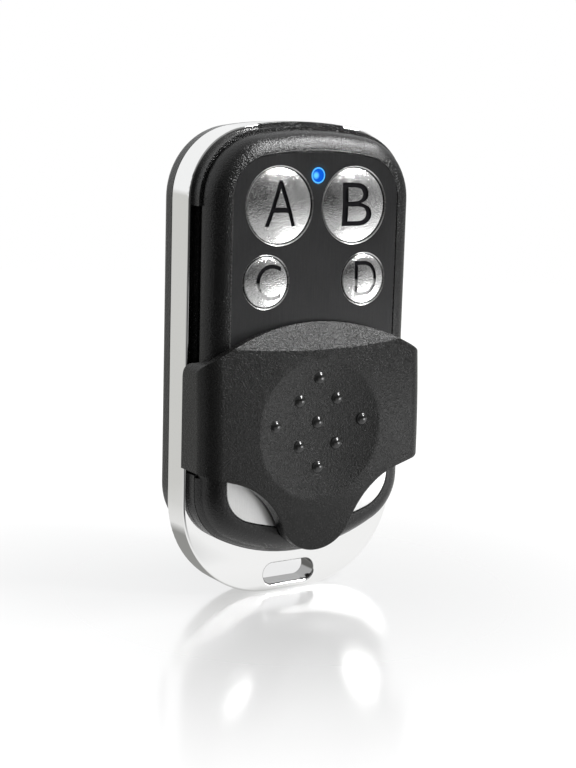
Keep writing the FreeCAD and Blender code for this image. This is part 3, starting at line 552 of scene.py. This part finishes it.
def lit_lens(name, bright, deep, centre, radius):
    """A lit clear lens: a glowing spot left of its middle, deep blue round it, and a bright rim."""
    finish = Finish(name)
    spot_centre = (centre[0] - 0.32 * radius, centre[1], centre[2])
    spot = finish.fade(finish.away(spot_centre), 0.5 * radius, 0.2 * radius)
    out = finish.away(centre)
    ring = finish.maths("MULTIPLY", finish.fade(out, 0.74 * radius, 0.84 * radius),
                        finish.fade(out, 0.97 * radius, 0.88 * radius))
    lit = finish.maths("MAXIMUM", spot, ring)
    return finish.surface({
        "Base Color": deep,
        "Roughness": 0.1,
        "Emission Color": finish.tone(lit, deep, bright),
        "Emission Strength": finish.between(lit, 0.8, 0.9),
    })


def plain_part(name, base, roughness, metallic, grain, depth):
    """An inner part's finish: one colour with a little variation, and relief. Lengths are in millimetres."""
    finish = Finish(name)
    lumps = finish.noise(grain * MM, 3.0)
    return finish.surface({
        "Base Color": finish.tone(lumps, scaled(base, 0.75), base),
        "Metallic": metallic,
        "Roughness": finish.spread(lumps, roughness - 0.05, roughness + 0.08),
    }, lumps, depth * MM)


def solder_mask(name, base, copper):
    """Green board coating with paler tracks under it."""
    finish = Finish(name)
    flat = finish.add("ShaderNodeMapping", {"Vector": finish.place, "Rotation": (math.radians(90), 0, 0)})
    tracks = finish.node("ShaderNodeTexBrick", {
        "Vector": flat, "Scale": 1 / TRACK_PITCH, "Mortar Size": 0.06,
        "Color1": base, "Color2": scaled(base, 0.9), "Mortar": copper,
    }).outputs
    return finish.surface({"Base Color": tracks["Color"], "Roughness": 0.3}, tracks["Fac"], 0.02 * MM)


# Shell

BASE = Outline(*mm(15.9, 5.75, 61.9, 7.5, 26.1, 8.8, 53.4))
BASE_TOP = FACE_HEIGHT - 2.7 * MM
# The skirt's section in millimetres: inwards from the base's edge, and up from its top
SKIRT = [(-0.02, -1.1), (-0.02, -0.7), (0.0, -0.3), (0.08, 0.1), (0.25, 0.5), (0.5, 0.9), (0.78, 1.25),
         (1.0, 1.1), (0.8, 0.3), (0.5, -0.2), (0.5, -1.1)]
SKIRT_END = 17.3 * MM
SKIRT_REST = mm(20, 70)
# The row and height of the cover's crest, and the crown's radii across and along
COVER_CREST = mm(19.5, 13.95)
COVER_ACROSS, COVER_ALONG = mm(450, 150)
DISH_ROW = 23.2 * MM
DISH_STEPS = 32
# Points of the cover's low edge and tongue on the right, and the far corners and levels of what trims them
COVER_EDGE = [mm(18.0, 18.75), mm(13.0, 17.27)]
TONGUE_FLANK = mm(8.4, 14.88)
TONGUE_WAIST = mm(5.3, 10.6)
TONGUE_TIP = mm(0.0, 6.95)
TRIM_CORNERS = [mm(-18.0, 0.0), mm(18.0, 0.0)]
TRIM_LOW, TRIM_HIGH = mm(3, 18)


def crown_height(x, y):
    """How high the sliding cover's crowned front is."""
    row, height = COVER_CREST
    return height - (x**2 / COVER_ACROSS + (y - row) ** 2 / COVER_ALONG) / 2


def dish_height(x, y, sizes):
    """How high the cover's front is in its round thumb dish."""
    out = math.hypot(x, y - DISH_ROW) / sizes.dish_radius
    return crown_height(x, y) - sizes.dish_depth * (1 - out**2)


def dish_cutter(sizes):
    """The solid that hollows the thumb dish out of the cover."""
    rings = []
    for i in range(1, DISH_STEPS + 1):
        ring = circle((0, DISH_ROW), sizes.dish_radius * 1.04 * i / DISH_STEPS, 0, 128)
        rings.append([(x, y, dish_height(x, y, sizes)) for x, y, z in ring])
    rings.append([(x, y, COVER_CREST[1] + MM) for x, y, z in rings[-1]])
    return solid("dish", rings)


def tongue_cutter(bevel):
    """The solid round the cover's low edge and tongue, which trims them and bevels their rim."""
    flank = arc(COVER_EDGE[1], TONGUE_FLANK, TONGUE_WAIST, 40)
    tip = arc(TONGUE_WAIST, TONGUE_TIP, (-TONGUE_WAIST[0], TONGUE_WAIST[1]), 60)
    right = [COVER_EDGE[0], *flank]
    edge = right + tip[1:-1] + [(-x, y) for x, y in reversed(right)]

    def ring(by, rise=0.0, level=None):
        """The edge moved inwards, at a rise above the cover's front or at a level, and two far corners."""
        points = []
        for i, (x, y) in enumerate(edge):
            along = Vector(edge[min(i + 1, len(edge) - 1)]) - Vector(edge[max(i - 1, 0)])
            along.normalize()
            points.append((x + by * along.y, y - by * along.x, crown_height(x, y) + rise))
        points += [(x, y, COVER_CREST[1] - MM + rise) for x, y in TRIM_CORNERS]
        return points if level is None else [(x, y, level) for x, y, z in points]

    return solid("trim", [
        ring(0, level=TRIM_LOW), ring(0, -bevel), ring(0.3 * bevel, -0.3 * bevel), ring(bevel),
        ring(3 * bevel, bevel), ring(3 * bevel, level=TRIM_HIGH)])


def housing_skirt():
    """A ring that rounds off the step round the housing's low end, as a closed band."""
    mesh = bmesh.new()
    rings = [[(x, y, BASE_TOP + up * MM) for x, y in BASE.inset(by * MM).ring()] for by, up in SKIRT]
    loft(mesh, rings, band=True)
    bmesh.ops.recalc_face_normals(mesh, faces=mesh.faces)
    band = new_object("housing_skirt", mesh)
    wide, tall = SKIRT_REST
    corners = [(-wide, SKIRT_END), (wide, SKIRT_END), (wide, tall), (-wide, tall)]
    carve(band, solid("rest", [[(x, y, height) for x, y in corners] for height in (0, wide)]))
    return band


class REMOTE_OT_shell(bpy.types.Operator):
    """Finish the frame, the housing, the back cover and the sliding cover"""

    bl_idname = "remote.shell"
    bl_label = "Shell"

    def execute(self, context):
        finishes, sizes = context.scene.remote_finishes, context.scene.remote_sizes
        grain, depth = finishes.grain, finishes.grain_depth
        shell = moulded_plastic("housing_grain", finishes.housing, 0.22, 0.45, grain, depth)
        cover = moulded_plastic("cover_grain", finishes.cover, 0.24, 0.25, grain, depth)
        chrome = polished_chrome("frame_chrome", finishes.chrome)
        for node, name, body, slot, material, sharp, cutters in (
            ("chrome_frame", "bright_frame", "remote_body", "frame_chrome", chrome, 35, ()),
            ("front_housing", "front_shell", "remote_body", "shell_black", shell, 35, ()),
            ("back_cover", "back_shell", "remote_body", "shell_black", shell, 35, ()),
            ("slide_cover", "sliding_cover", "cover", "cover_black", cover, 12.5,
             (dish_cutter(sizes), tongue_cutter(sizes.cover_bevel))),
        ):
            piece = copy_of(node, name)
            for cutter in cutters:
                cutter.data.transform(UPRIGHT)
                carve(piece, cutter)
            smooth(piece, sharp)
            even_shading(piece)
            hand_in(piece, body, [node], slot, material)
        skirt = housing_skirt()
        smooth(skirt, 40)
        skirt.data.transform(UPRIGHT)
        hand_in(skirt, "remote_body", [], "shell_black", shell)
        return {"FINISHED"}


# Face plate, buttons and status light

PLATE = Outline(*mm(12.67, 9.78, 59.12, 4.92, 29.92, 5.57, 50.17))
PLATE_THICKNESS = 0.4 * MM
# Place and radius of each button's hole
BUTTONS = {
    "a": mm(-5.71, 51.97, 4.95),
    "b": mm(5.71, 51.97, 4.95),
    "c": mm(-7.5, 42.35, 3.38),
    "d": mm(7.5, 42.35, 3.38),
}
# Middle, width and height of each letter
LETTER_BOXES = {
    "a": mm(-5.66, 52.3, 4.6, 5.9),
    "b": mm(6.1, 52.1, 4.7, 5.6),
    "c": mm(-7.2, 42.3, 3.8, 4.6),
    "d": mm(7.8, 42.4, 3.5, 4.6),
}
# Where each letter's black ink and painted shade begins and is whole, above its middle, as shares of its
# height
LETTER_INK_AND_SHADE = {"a": (-0.56, -0.46), "b": (-0.56, -0.46), "c": (-0.2, 0.05), "d": (-0.2, 0.05)}
LETTER_THINNING = -0.007
BUTTON_CLEARANCE, BUTTON_FLANGE, BUTTON_FLANGE_THICKNESS, BUTTON_SEAT_DEPTH = mm(0.15, 0.45, 0.75, 2.3)
BUTTON_EDGE_STEPS, BUTTON_DOME_STEPS = 6, 14
LIGHT_PLACE = mm(0.0, 55.8)
LIGHT_HOLE = 1.1 * MM
LIGHT_CENTRE = (LIGHT_PLACE[0], BACK_PLANE - FACE_HEIGHT, LIGHT_PLACE[1])
# A facet whose normal's height is over this is level
FACES_OUT = 0.99


class REMOTE_OT_plate(bpy.types.Operator):
    """Make the face plate, with bare bevels round its edge and holes"""

    bl_idname = "remote.plate"
    bl_label = "Face plate"

    def execute(self, context):
        finishes, sizes = context.scene.remote_finishes, context.scene.remote_sizes
        bevel = sizes.plate_bevel
        under = FACE_HEIGHT - PLATE_THICKNESS
        levels = ((PLATE, under), (PLATE, FACE_HEIGHT - bevel), (PLATE.inset(bevel), FACE_HEIGHT))
        plate = solid("bevelled_plate", [[(x, y, z) for x, y in outline.ring()] for outline, z in levels])
        holes = [(*hole, bevel) for hole in BUTTONS.values()]
        holes.append((*LIGHT_PLACE, LIGHT_HOLE, 0.3 * bevel))
        for x, y, radius, edge in holes:
            carve(plate, solid("hole", [
                circle((x, y), radius, under - MM), circle((x, y), radius, FACE_HEIGHT - edge),
                circle((x, y), radius + edge, FACE_HEIGHT), circle((x, y), radius + edge, FACE_HEIGHT + MM)]))
        light = Vector((*LIGHT_PLACE, FACE_HEIGHT))
        for face in plate.data.polygons:
            if face.normal.z < FACES_OUT and (face.center - light).length > 1.5 * LIGHT_HOLE:
                face.material_index = 1
        smooth(plate, 30)
        plate.data.transform(UPRIGHT)
        brushed = anodised_plate("plate_finish", finishes.plate_dark, finishes.plate_bare,
                                 finishes.plate_division, LIGHT_CENTRE, finishes.light_core)
        bare = bare_edge("plate_bevel", finishes.plate_bare)
        hand_in(plate, "remote_body", ["face_plate"], "plate_aluminium", brushed, bare)
        return {"FINISHED"}


def dome_rings(radius, sizes, place):
    """A button's rings, from its flange up over its rounded edge to the middle of its dome."""
    ball = radius / math.sin(sizes.button_tilt)
    edge = FACE_HEIGHT + sizes.button_rise - radius * math.tan(sizes.button_tilt / 2)
    seat = FACE_HEIGHT - BUTTON_SEAT_DEPTH
    flange = radius + BUTTON_CLEARANCE + BUTTON_FLANGE
    shoulder = seat + BUTTON_FLANGE_THICKNESS
    profile = [(flange, seat), (flange, shoulder), (radius, shoulder)]
    rounding = sizes.button_round
    for i in range(BUTTON_EDGE_STEPS + 1):
        turn = math.radians(90 * i / BUTTON_EDGE_STEPS)
        profile.append((radius - rounding * (1 - math.cos(turn)), edge - rounding * (1 - math.sin(turn))))
    top = edge
    for i in range(1, BUTTON_DOME_STEPS):
        out = (radius - rounding) * (1 - i / BUTTON_DOME_STEPS)
        top = max(top, FACE_HEIGHT + sizes.button_rise - ball + math.sqrt(ball**2 - out**2))
        profile.append((out, top))
    return [circle(place, r, z, 128) for r, z in profile]


def letter_cutter(letter, floor):
    """A letter as a prism that stands on the engraving's floor, stretched to its own width and height."""
    x, y, width, height = LETTER_BOXES[letter]
    text = bpy.data.curves.new("letter", "FONT")
    text.body = letter.upper()
    text.resolution_u = 8
    text.extrude = 0.5
    text.offset = LETTER_THINNING
    item = link("letter", text)
    flat = finished_mesh(item)
    bpy.data.objects.remove(item)
    bpy.data.curves.remove(text)
    xs, ys = [v.co.x for v in flat.vertices], [v.co.y for v in flat.vertices]
    middle = Vector(((min(xs) + max(xs)) / 2, (min(ys) + max(ys)) / 2, -0.5))
    size = Matrix.Diagonal((width / (max(xs) - min(xs)), height / (max(ys) - min(ys)), MM, 1))
    flat.transform(Matrix.Translation((x, y, floor)) @ size @ Matrix.Translation(-middle))
    mesh = bmesh.new()
    mesh.from_mesh(flat)
    bpy.data.meshes.remove(flat)
    bmesh.ops.remove_doubles(mesh, verts=mesh.verts, dist=MERGE)
    bmesh.ops.recalc_face_normals(mesh, faces=mesh.faces)
    return new_object("letter", mesh)


class REMOTE_OT_buttons(bpy.types.Operator):
    """Make the four domed buttons with their engraved letters"""

    bl_idname = "remote.buttons"
    bl_label = "Buttons"

    def execute(self, context):
        finishes, sizes = context.scene.remote_finishes, context.scene.remote_sizes
        frosted = frosted_chrome("button_frost", finishes.chrome)
        floor = FACE_HEIGHT + sizes.button_rise - sizes.letter_depth
        for letter, (x, y, hole) in BUTTONS.items():
            button = solid(f"key_cap_{letter}", dome_rings(hole - BUTTON_CLEARANCE, sizes, (x, y)))
            carve(button, letter_cutter(letter, floor))
            for face in button.data.polygons:
                if face.normal.z > FACES_OUT and abs(face.center.z - floor) < MERGE:
                    face.material_index = 1
            smooth(button, 40)
            button.data.transform(UPRIGHT)
            middle, tall = LETTER_BOXES[letter][1::2]
            # The letter's dark fades out lower down as painted shade
            start, end = (middle + share * tall for share in LETTER_INK_AND_SHADE[letter])
            ink_and_shade = letter_ink_and_shade(f"letter_ink_{letter}", finishes.ink_and_shade, finishes.chrome, start, end)
            hand_in(button, f"key_{letter}", [f"button_{letter}"], "button_chrome", frosted, ink_and_shade)
        return {"FINISHED"}


class REMOTE_OT_light(bpy.types.Operator):
    """Light the status lens"""

    bl_idname = "remote.light"
    bl_label = "Status light"

    def execute(self, context):
        finishes = context.scene.remote_finishes
        lens = lit_lens("lit_lens", finishes.light_core, finishes.light_deep, LIGHT_CENTRE, LIGHT_HOLE)
        paint_node("light_pipe", lens)
        return {"FINISHED"}


# Repeated pieces

DOT_ROW = 24.0 * MM
DOT_STEP = mm(2.9, 3.0)
DOT_REACH = mm(6.75, 5.9)
SCREW_PLACES = [mm(0.0, 58.95), mm(-7.6, 10.3), mm(7.6, 10.3)]
SCREW_SIZES = {
    "Head radius": 1.4 * MM, "Head bevel": 0.3 * MM, "Head height": 1.0 * MM, "Seat": 1.35 * MM,
    "Shank radius": 0.8 * MM, "Shank length": 6.0 * MM, "Slot length": 1.7 * MM, "Slot width": 0.36 * MM,
    "Slot depth": 0.6 * MM,
}


class Copies(Nodes):
    """A Geometry Nodes tree that puts a mesh on each point. It takes named lengths and a material."""

    def __init__(self, name, sizes):
        super().__init__(bpy.data.node_groups.new(name, "GeometryNodeTree"))
        face = self.tree.interface
        face.new_socket("Geometry", in_out="INPUT", socket_type="NodeSocketGeometry")
        for label, value in sizes.items():
            socket = face.new_socket(label, in_out="INPUT", socket_type="NodeSocketFloat")
            socket.subtype = "DISTANCE"
            socket.default_value = value
        material = face.new_socket("Material", in_out="INPUT", socket_type="NodeSocketMaterial")
        self.material_key = material.identifier
        face.new_socket("Geometry", in_out="OUTPUT", socket_type="NodeSocketGeometry")
        self.start = self.node("NodeGroupInput").outputs

    def scatter(self, name, places, material, mesh, **scale):
        """The plain mesh of the copies on a set of points."""
        chain = self.add("GeometryNodeInstanceOnPoints",
                         {"Points": self.start["Geometry"], "Instance": mesh, **scale})
        chain = self.add("GeometryNodeRealizeInstances", {"Geometry": chain})
        chain = self.add("GeometryNodeSetShadeSmooth", {"Geometry": chain})
        chain = self.add("GeometryNodeSetMaterial", {"Geometry": chain, "Material": self.start["Material"]})
        self.node("NodeGroupOutput", {"Geometry": chain})
        points = bpy.data.meshes.new(name)
        points.from_pydata(places, [], [])
        item = link(name, points)
        modifier = item.modifiers.new("copies", "NODES")
        modifier.node_group = self.tree
        modifier[self.material_key] = material
        apply_modifiers(item)
        item.data.transform(UPRIGHT)
        return item


class REMOTE_OT_dots(bpy.types.Operator):
    """Make the grip dots on the sliding cover"""

    bl_idname = "remote.dots"
    bl_label = "Grip dots"

    def execute(self, context):
        finishes, sizes = context.scene.remote_finishes, context.scene.remote_sizes
        copies = Copies("grip_dot_tree", {"Dot radius": sizes.dot_radius, "Dot rise": sizes.dot_rise})
        radius, rise = copies.start["Dot radius"], copies.start["Dot rise"]
        ball = copies.add("GeometryNodeMeshIcoSphere", {"Radius": radius, "Subdivisions": 4})
        share = copies.maths("DIVIDE", rise, radius)
        squash = copies.add("ShaderNodeCombineXYZ", {"X": 1, "Y": 1, "Z": share})
        steps = [(0, 0), (0, DOT_REACH[1]), (0, -DOT_REACH[1]), (DOT_REACH[0], 0), (-DOT_REACH[0], 0)]
        steps += [(i * DOT_STEP[0], j * DOT_STEP[1]) for i in (-1, 1) for j in (-1, 1)]
        places = [(x, DOT_ROW + y, dish_height(x, DOT_ROW + y, sizes)) for x, y in steps]
        gloss = moulded_plastic(
            "dot_gloss", finishes.cover, 0.12, 0.7, finishes.grain, finishes.grain_depth * 0.1)
        dots = copies.scatter("grip_dots", places, gloss, ball, Scale=squash)
        hand_in(dots, "cover", [], "cover_black")
        return {"FINISHED"}


class ScrewTree(Copies):
    """The Geometry Nodes tree of a pan-head screw with a cross recess, standing head down."""

    def moved(self, mesh, height):
        """A mesh raised to a height."""
        place = self.add("ShaderNodeCombineXYZ", {"Z": height})
        return self.add("GeometryNodeTransform", {"Geometry": mesh, "Translation": place})

    def frustum(self, low, high, depth, base, sides):
        """A cone's stump on a base height."""
        sockets = {"Vertices": sides, "Radius Top": high, "Radius Bottom": low, "Depth": depth}
        return self.moved(self.add("GeometryNodeMeshCone", sockets), base)

    def joined(self, operation, meshes, base=None):
        """A union of meshes, or what they leave of a base."""
        node = self.node("GeometryNodeMeshBoolean", operation=operation, solver="EXACT")
        if base is not None:
            self.tree.links.new(base, node.inputs["Mesh 1"])
        for mesh in meshes:
            self.tree.links.new(mesh, node.inputs["Mesh 2"])
        return node.outputs["Mesh"]

    def screw(self):
        """The screw's mesh."""
        size = self.start
        radius, bevel, seat = size["Head radius"], size["Head bevel"], size["Seat"]
        top = self.maths("SUBTRACT", seat, size["Head height"])
        narrow = self.maths("SUBTRACT", radius, bevel)
        rest = self.maths("SUBTRACT", size["Head height"], bevel)
        crown = self.frustum(narrow, radius, bevel, top, 64)
        head = self.frustum(radius, radius, rest, self.maths("ADD", top, bevel), 64)
        shank = self.frustum(size["Shank radius"], size["Shank radius"], size["Shank length"], seat, 32)
        deep = self.maths("MULTIPLY", size["Slot depth"], 2)
        bars = []
        for x, y in (("Slot length", "Slot width"), ("Slot width", "Slot length")):
            box = self.add("ShaderNodeCombineXYZ", {"X": size[x], "Y": size[y], "Z": deep})
            bars.append(self.moved(self.add("GeometryNodeMeshCube", {"Size": box}), top))
        return self.joined("DIFFERENCE", bars, self.joined("UNION", (crown, head, shank)))


class REMOTE_OT_screws(bpy.types.Operator):
    """Make the three cross-head screws in the back cover"""

    bl_idname = "remote.screws"
    bl_label = "Back screws"

    def execute(self, context):
        tree = ScrewTree("screw_tree", SCREW_SIZES)
        zinc = plain_part("screw_zinc", (0.42, 0.42, 0.43), 0.32, 1, 0.3, 0.004)
        screws = tree.scatter("cover_screws", [(x, y, 0) for x, y in SCREW_PLACES], zinc, tree.screw())
        smooth(screws, 30)
        hand_in(screws, "remote_body", ["back_screws"], "screw_steel")
        return {"FINISHED"}


class REMOTE_OT_inner(bpy.types.Operator):
    """Finish the inner parts"""

    bl_idname = "remote.inner"
    bl_label = "Inner parts"

    def execute(self, context):
        steel = plain_part("bright_steel", (0.62, 0.61, 0.58), 0.3, 1, 0.2, 0.004)
        dark = plain_part("moulded_dark", (0.03, 0.03, 0.032), 0.45, 0, 0.2, 0.01)
        finishes = {
            "circuit_board": solder_mask("board_green", (0.02, 0.16, 0.06), (0.05, 0.28, 0.1)),
            "battery": plain_part("battery_sleeve", (0.08, 0.085, 0.1), 0.3, 0.3, 1.5, 0.004),
            "battery_contact_plus": steel,
            "battery_contact_minus": steel,
            "encoder_chip": dark,
            "resonator_can": steel,
            "tuning_coil": plain_part("coil_red", (0.32, 0.05, 0.04), 0.5, 0, 0.2, 0.01),
            "chip_parts": plain_part("ceramic_tan", (0.46, 0.36, 0.24), 0.5, 0, 0.15, 0.004),
            "antenna_loop": plain_part("wire_copper", (0.75, 0.4, 0.24), 0.3, 1, 0.3, 0.003),
            "status_led": plain_part("led_body", (0.8, 0.8, 0.72), 0.4, 0, 0.3, 0.002),
        }
        for letter in BUTTONS:
            finishes[f"switch_body_{letter}"] = steel
            finishes[f"switch_plunger_{letter}"] = dark
        for node, material in finishes.items():
            paint_node(node, material)
        return {"FINISHED"}


# Studio

CAMERA_WAY = (-0.62, -0.785, 0)
TABLE_THICKNESS = 4 * MM
WHITE = (1, 1, 1)
BACK_GREY = (0.64, 0.64, 0.62)
LAMP_AIM = Vector((0, 0, 30 * MM))


def grey(value):
    """A grey of one value."""
    return (value, value, value)


def place_camera(studio):
    """Stands the camera where the photograph was taken from."""
    yaw, elevation, roll = studio.yaw, studio.elevation, studio.roll
    level = math.cos(elevation)
    back = Vector((-math.sin(yaw) * level, math.sin(elevation), math.cos(yaw) * level))
    right = (-back).cross(Vector((0, 1, 0))).normalized()
    up = right.cross(-back)
    across = right * math.cos(roll) + up * math.sin(roll)
    rise = up * math.cos(roll) - right * math.sin(roll)
    eye = back * studio.distance - across * studio.side_shift - rise * studio.height_shift
    turn = Matrix((across, rise, back)).transposed().to_4x4()
    pivot = Matrix.Translation((0, studio.pivot_height, FACE_HEIGHT))
    data = bpy.data.cameras.new("camera")
    data.lens = studio.focal_length
    data.sensor_width = 36
    data.clip_start = 0.005
    data.clip_end = 20
    camera = link("camera", data)
    camera.matrix_world = UPRIGHT @ pivot @ Matrix.Translation(eye) @ turn
    bpy.context.scene.camera = camera


def make_floor(studio):
    """A round white table top, which shows the part's shadow and a faint blurred reflection.

    In the part's own reflections it is white, but grey behind and far in front, with a painted shadow right
    under the part, and dark towards the camera.
    """
    floor = solid("floor", [circle((0, 0), studio.floor_radius, z, 128) for z in (-TABLE_THICKNESS, 0)])
    finish = Finish("floor_white")
    camera, mirrored = finish.rays()
    out = finish.away((0, 0, 0))
    row = finish.axis("Y")
    wide, narrow = finish.towards_camera(0.12, 0.52), finish.towards_camera(0.74, 0.9)
    mirror = finish.overlaid(
        grey(0.97),
        (finish.fade(row, *mm(-10, 60)), BACK_GREY),
        (finish.fade(row, *mm(-320, -410)), grey(0.2)),
        # Painted shadow right under the part, seen only in its reflections
        (finish.fade(finish.away(mm(-6, 16, 0)), *mm(19, 14)), (0.3, 0.3, 0.29)),
        (finish.maths("MULTIPLY", finish.spread(out, 0.0, 0.55, *mm(50, 110)), wide), grey(0.1)),
        (finish.maths("MULTIPLY", finish.fade(out, *mm(14, 45)), narrow), grey(0.1)),
    )
    glow = finish.add("ShaderNodeEmission", {"Color": grey(0.92)})
    shadow = finish.add("ShaderNodeBsdfDiffuse", {"Color": grey(0.15)})
    table = finish.add("ShaderNodeAddShader", {0: glow, 1: shadow})
    gloss = finish.add("ShaderNodeBsdfGlossy", {"Roughness": 0.16})
    seen = finish.choose(finish.spread(out, 0.5, 0.0, *mm(12, 78)), table, gloss)
    matt = finish.add("ShaderNodeBsdfDiffuse", {"Color": grey(0.85)})
    painted_reflection = finish.add("ShaderNodeEmission", {"Color": mirror})
    shown = finish.choose(camera, matt, seen)
    floor.data.materials.append(finish.end(finish.choose(mirrored, shown, painted_reflection)))


def light_studio(studio):
    """A white room, two soft lamps and a small low one.

    In the part's own reflections the room is grey at the table's height, dim in front and at the right, and
    dark where the camera stands.
    """
    world = bpy.data.worlds.new("studio")
    bpy.context.scene.world = world
    world.use_nodes = True
    shades = Shades(world.node_tree, "Generated")
    camera, mirrored = shades.rays()
    right, back, up = (shades.axis(name) for name in "XYZ")
    room = shades.overlaid(
        (0.96, 0.965, 0.97),
        (shades.fade(up, 0.07, 0.0), BACK_GREY),
        (shades.fade(back, -0.1, -0.45), shades.tone(shades.fade(up, 0.14, 0.3), grey(0.03), grey(0.3))),
        (shades.maths("MULTIPLY", shades.fade(right, 0.45, 0.85), shades.fade(up, 0.5, 0.25)), grey(0.3)),
        (shades.maths("MULTIPLY", shades.fade(up, 0.5, 0.3), shades.towards_camera(0.74, 0.9)), grey(0.06)),
    )
    even = shades.add("ShaderNodeBackground", {"Color": WHITE, "Strength": studio.sky})
    reflected = shades.add("ShaderNodeBackground", {"Color": room})
    backdrop = shades.add("ShaderNodeBackground", {"Color": WHITE})
    light = shades.choose(camera, shades.choose(mirrored, even, reflected), backdrop)
    shades.node("ShaderNodeOutputWorld", {"Surface": light})
    lamp("overhead", studio.key_power, (0.32, 0.12), (0.36, -0.24, 0.52))
    lamp("front", studio.fill_power, (0.14, 0.12), (0.38, -0.5, 0.34))
    lamp("low_front", studio.low_power, (0.03, 0.03), (0.06, -0.064, 0.004))


def lamp(name, power, size, place):
    """A soft lamp of a width and height, which faces the part and isn't seen itself."""
    data = bpy.data.lights.new(name, "AREA")
    data.shape = "RECTANGLE"
    data.energy = power
    data.size, data.size_y = size
    item = link(name, data)
    item.location = place
    item.rotation_euler = (LAMP_AIM - Vector(place)).to_track_quat("-Z", "Y").to_euler()
    item.visible_camera = False


class REMOTE_OT_stage(bpy.types.Operator):
    """Set up the floor, the camera and the lights"""

    bl_idname = "remote.stage"
    bl_label = "Stage"

    def execute(self, context):
        studio = context.scene.remote_studio
        place_camera(studio)
        make_floor(studio)
        light_studio(studio)
        context.scene.view_settings.view_transform = "Standard"
        return {"FINISHED"}


# The add-on

PIECES = (REMOTE_OT_shell, REMOTE_OT_plate, REMOTE_OT_buttons, REMOTE_OT_light, REMOTE_OT_dots,
          REMOTE_OT_screws, REMOTE_OT_inner, REMOTE_OT_stage)


class REMOTE_PT_sidebar(bpy.types.Panel):
    """Lists the remote's pieces, finishes and studio"""

    bl_idname = "REMOTE_PT_sidebar"
    bl_label = "Garage Door Remote"
    bl_space_type = "VIEW_3D"
    bl_region_type = "UI"
    bl_category = "Remote"

    def draw(self, context):
        for piece in PIECES:
            self.layout.operator(piece.bl_idname)
        for group in (context.scene.remote_finishes, context.scene.remote_sizes, context.scene.remote_studio):
            column = self.layout.box().column()
            for name in type(group).__annotations__:
                column.prop(group, name)


CLASSES = (RemoteFinishes, RemoteSizes, RemoteStudio, *PIECES, REMOTE_PT_sidebar)


def register():
    """Registers the add-on's classes and properties."""
    for cls in CLASSES:
        bpy.utils.register_class(cls)
    bpy.types.Scene.remote_finishes = PointerProperty(type=RemoteFinishes)
    bpy.types.Scene.remote_sizes = PointerProperty(type=RemoteSizes)
    bpy.types.Scene.remote_studio = PointerProperty(type=RemoteStudio)


def unregister():
    """Removes the add-on's properties and classes."""
    del bpy.types.Scene.remote_studio
    del bpy.types.Scene.remote_sizes
    del bpy.types.Scene.remote_finishes
    for cls in reversed(CLASSES):
        bpy.utils.unregister_class(cls)


def main():
    """Builds the whole scene."""
    register()
    bpy.ops.remote.stage()
    bpy.ops.remote.shell()
    bpy.ops.remote.plate()
    bpy.ops.remote.buttons()
    bpy.ops.remote.light()
    bpy.ops.remote.dots()
    bpy.ops.remote.screws()
    bpy.ops.remote.inner()


if __name__ == "__main__":
    main()
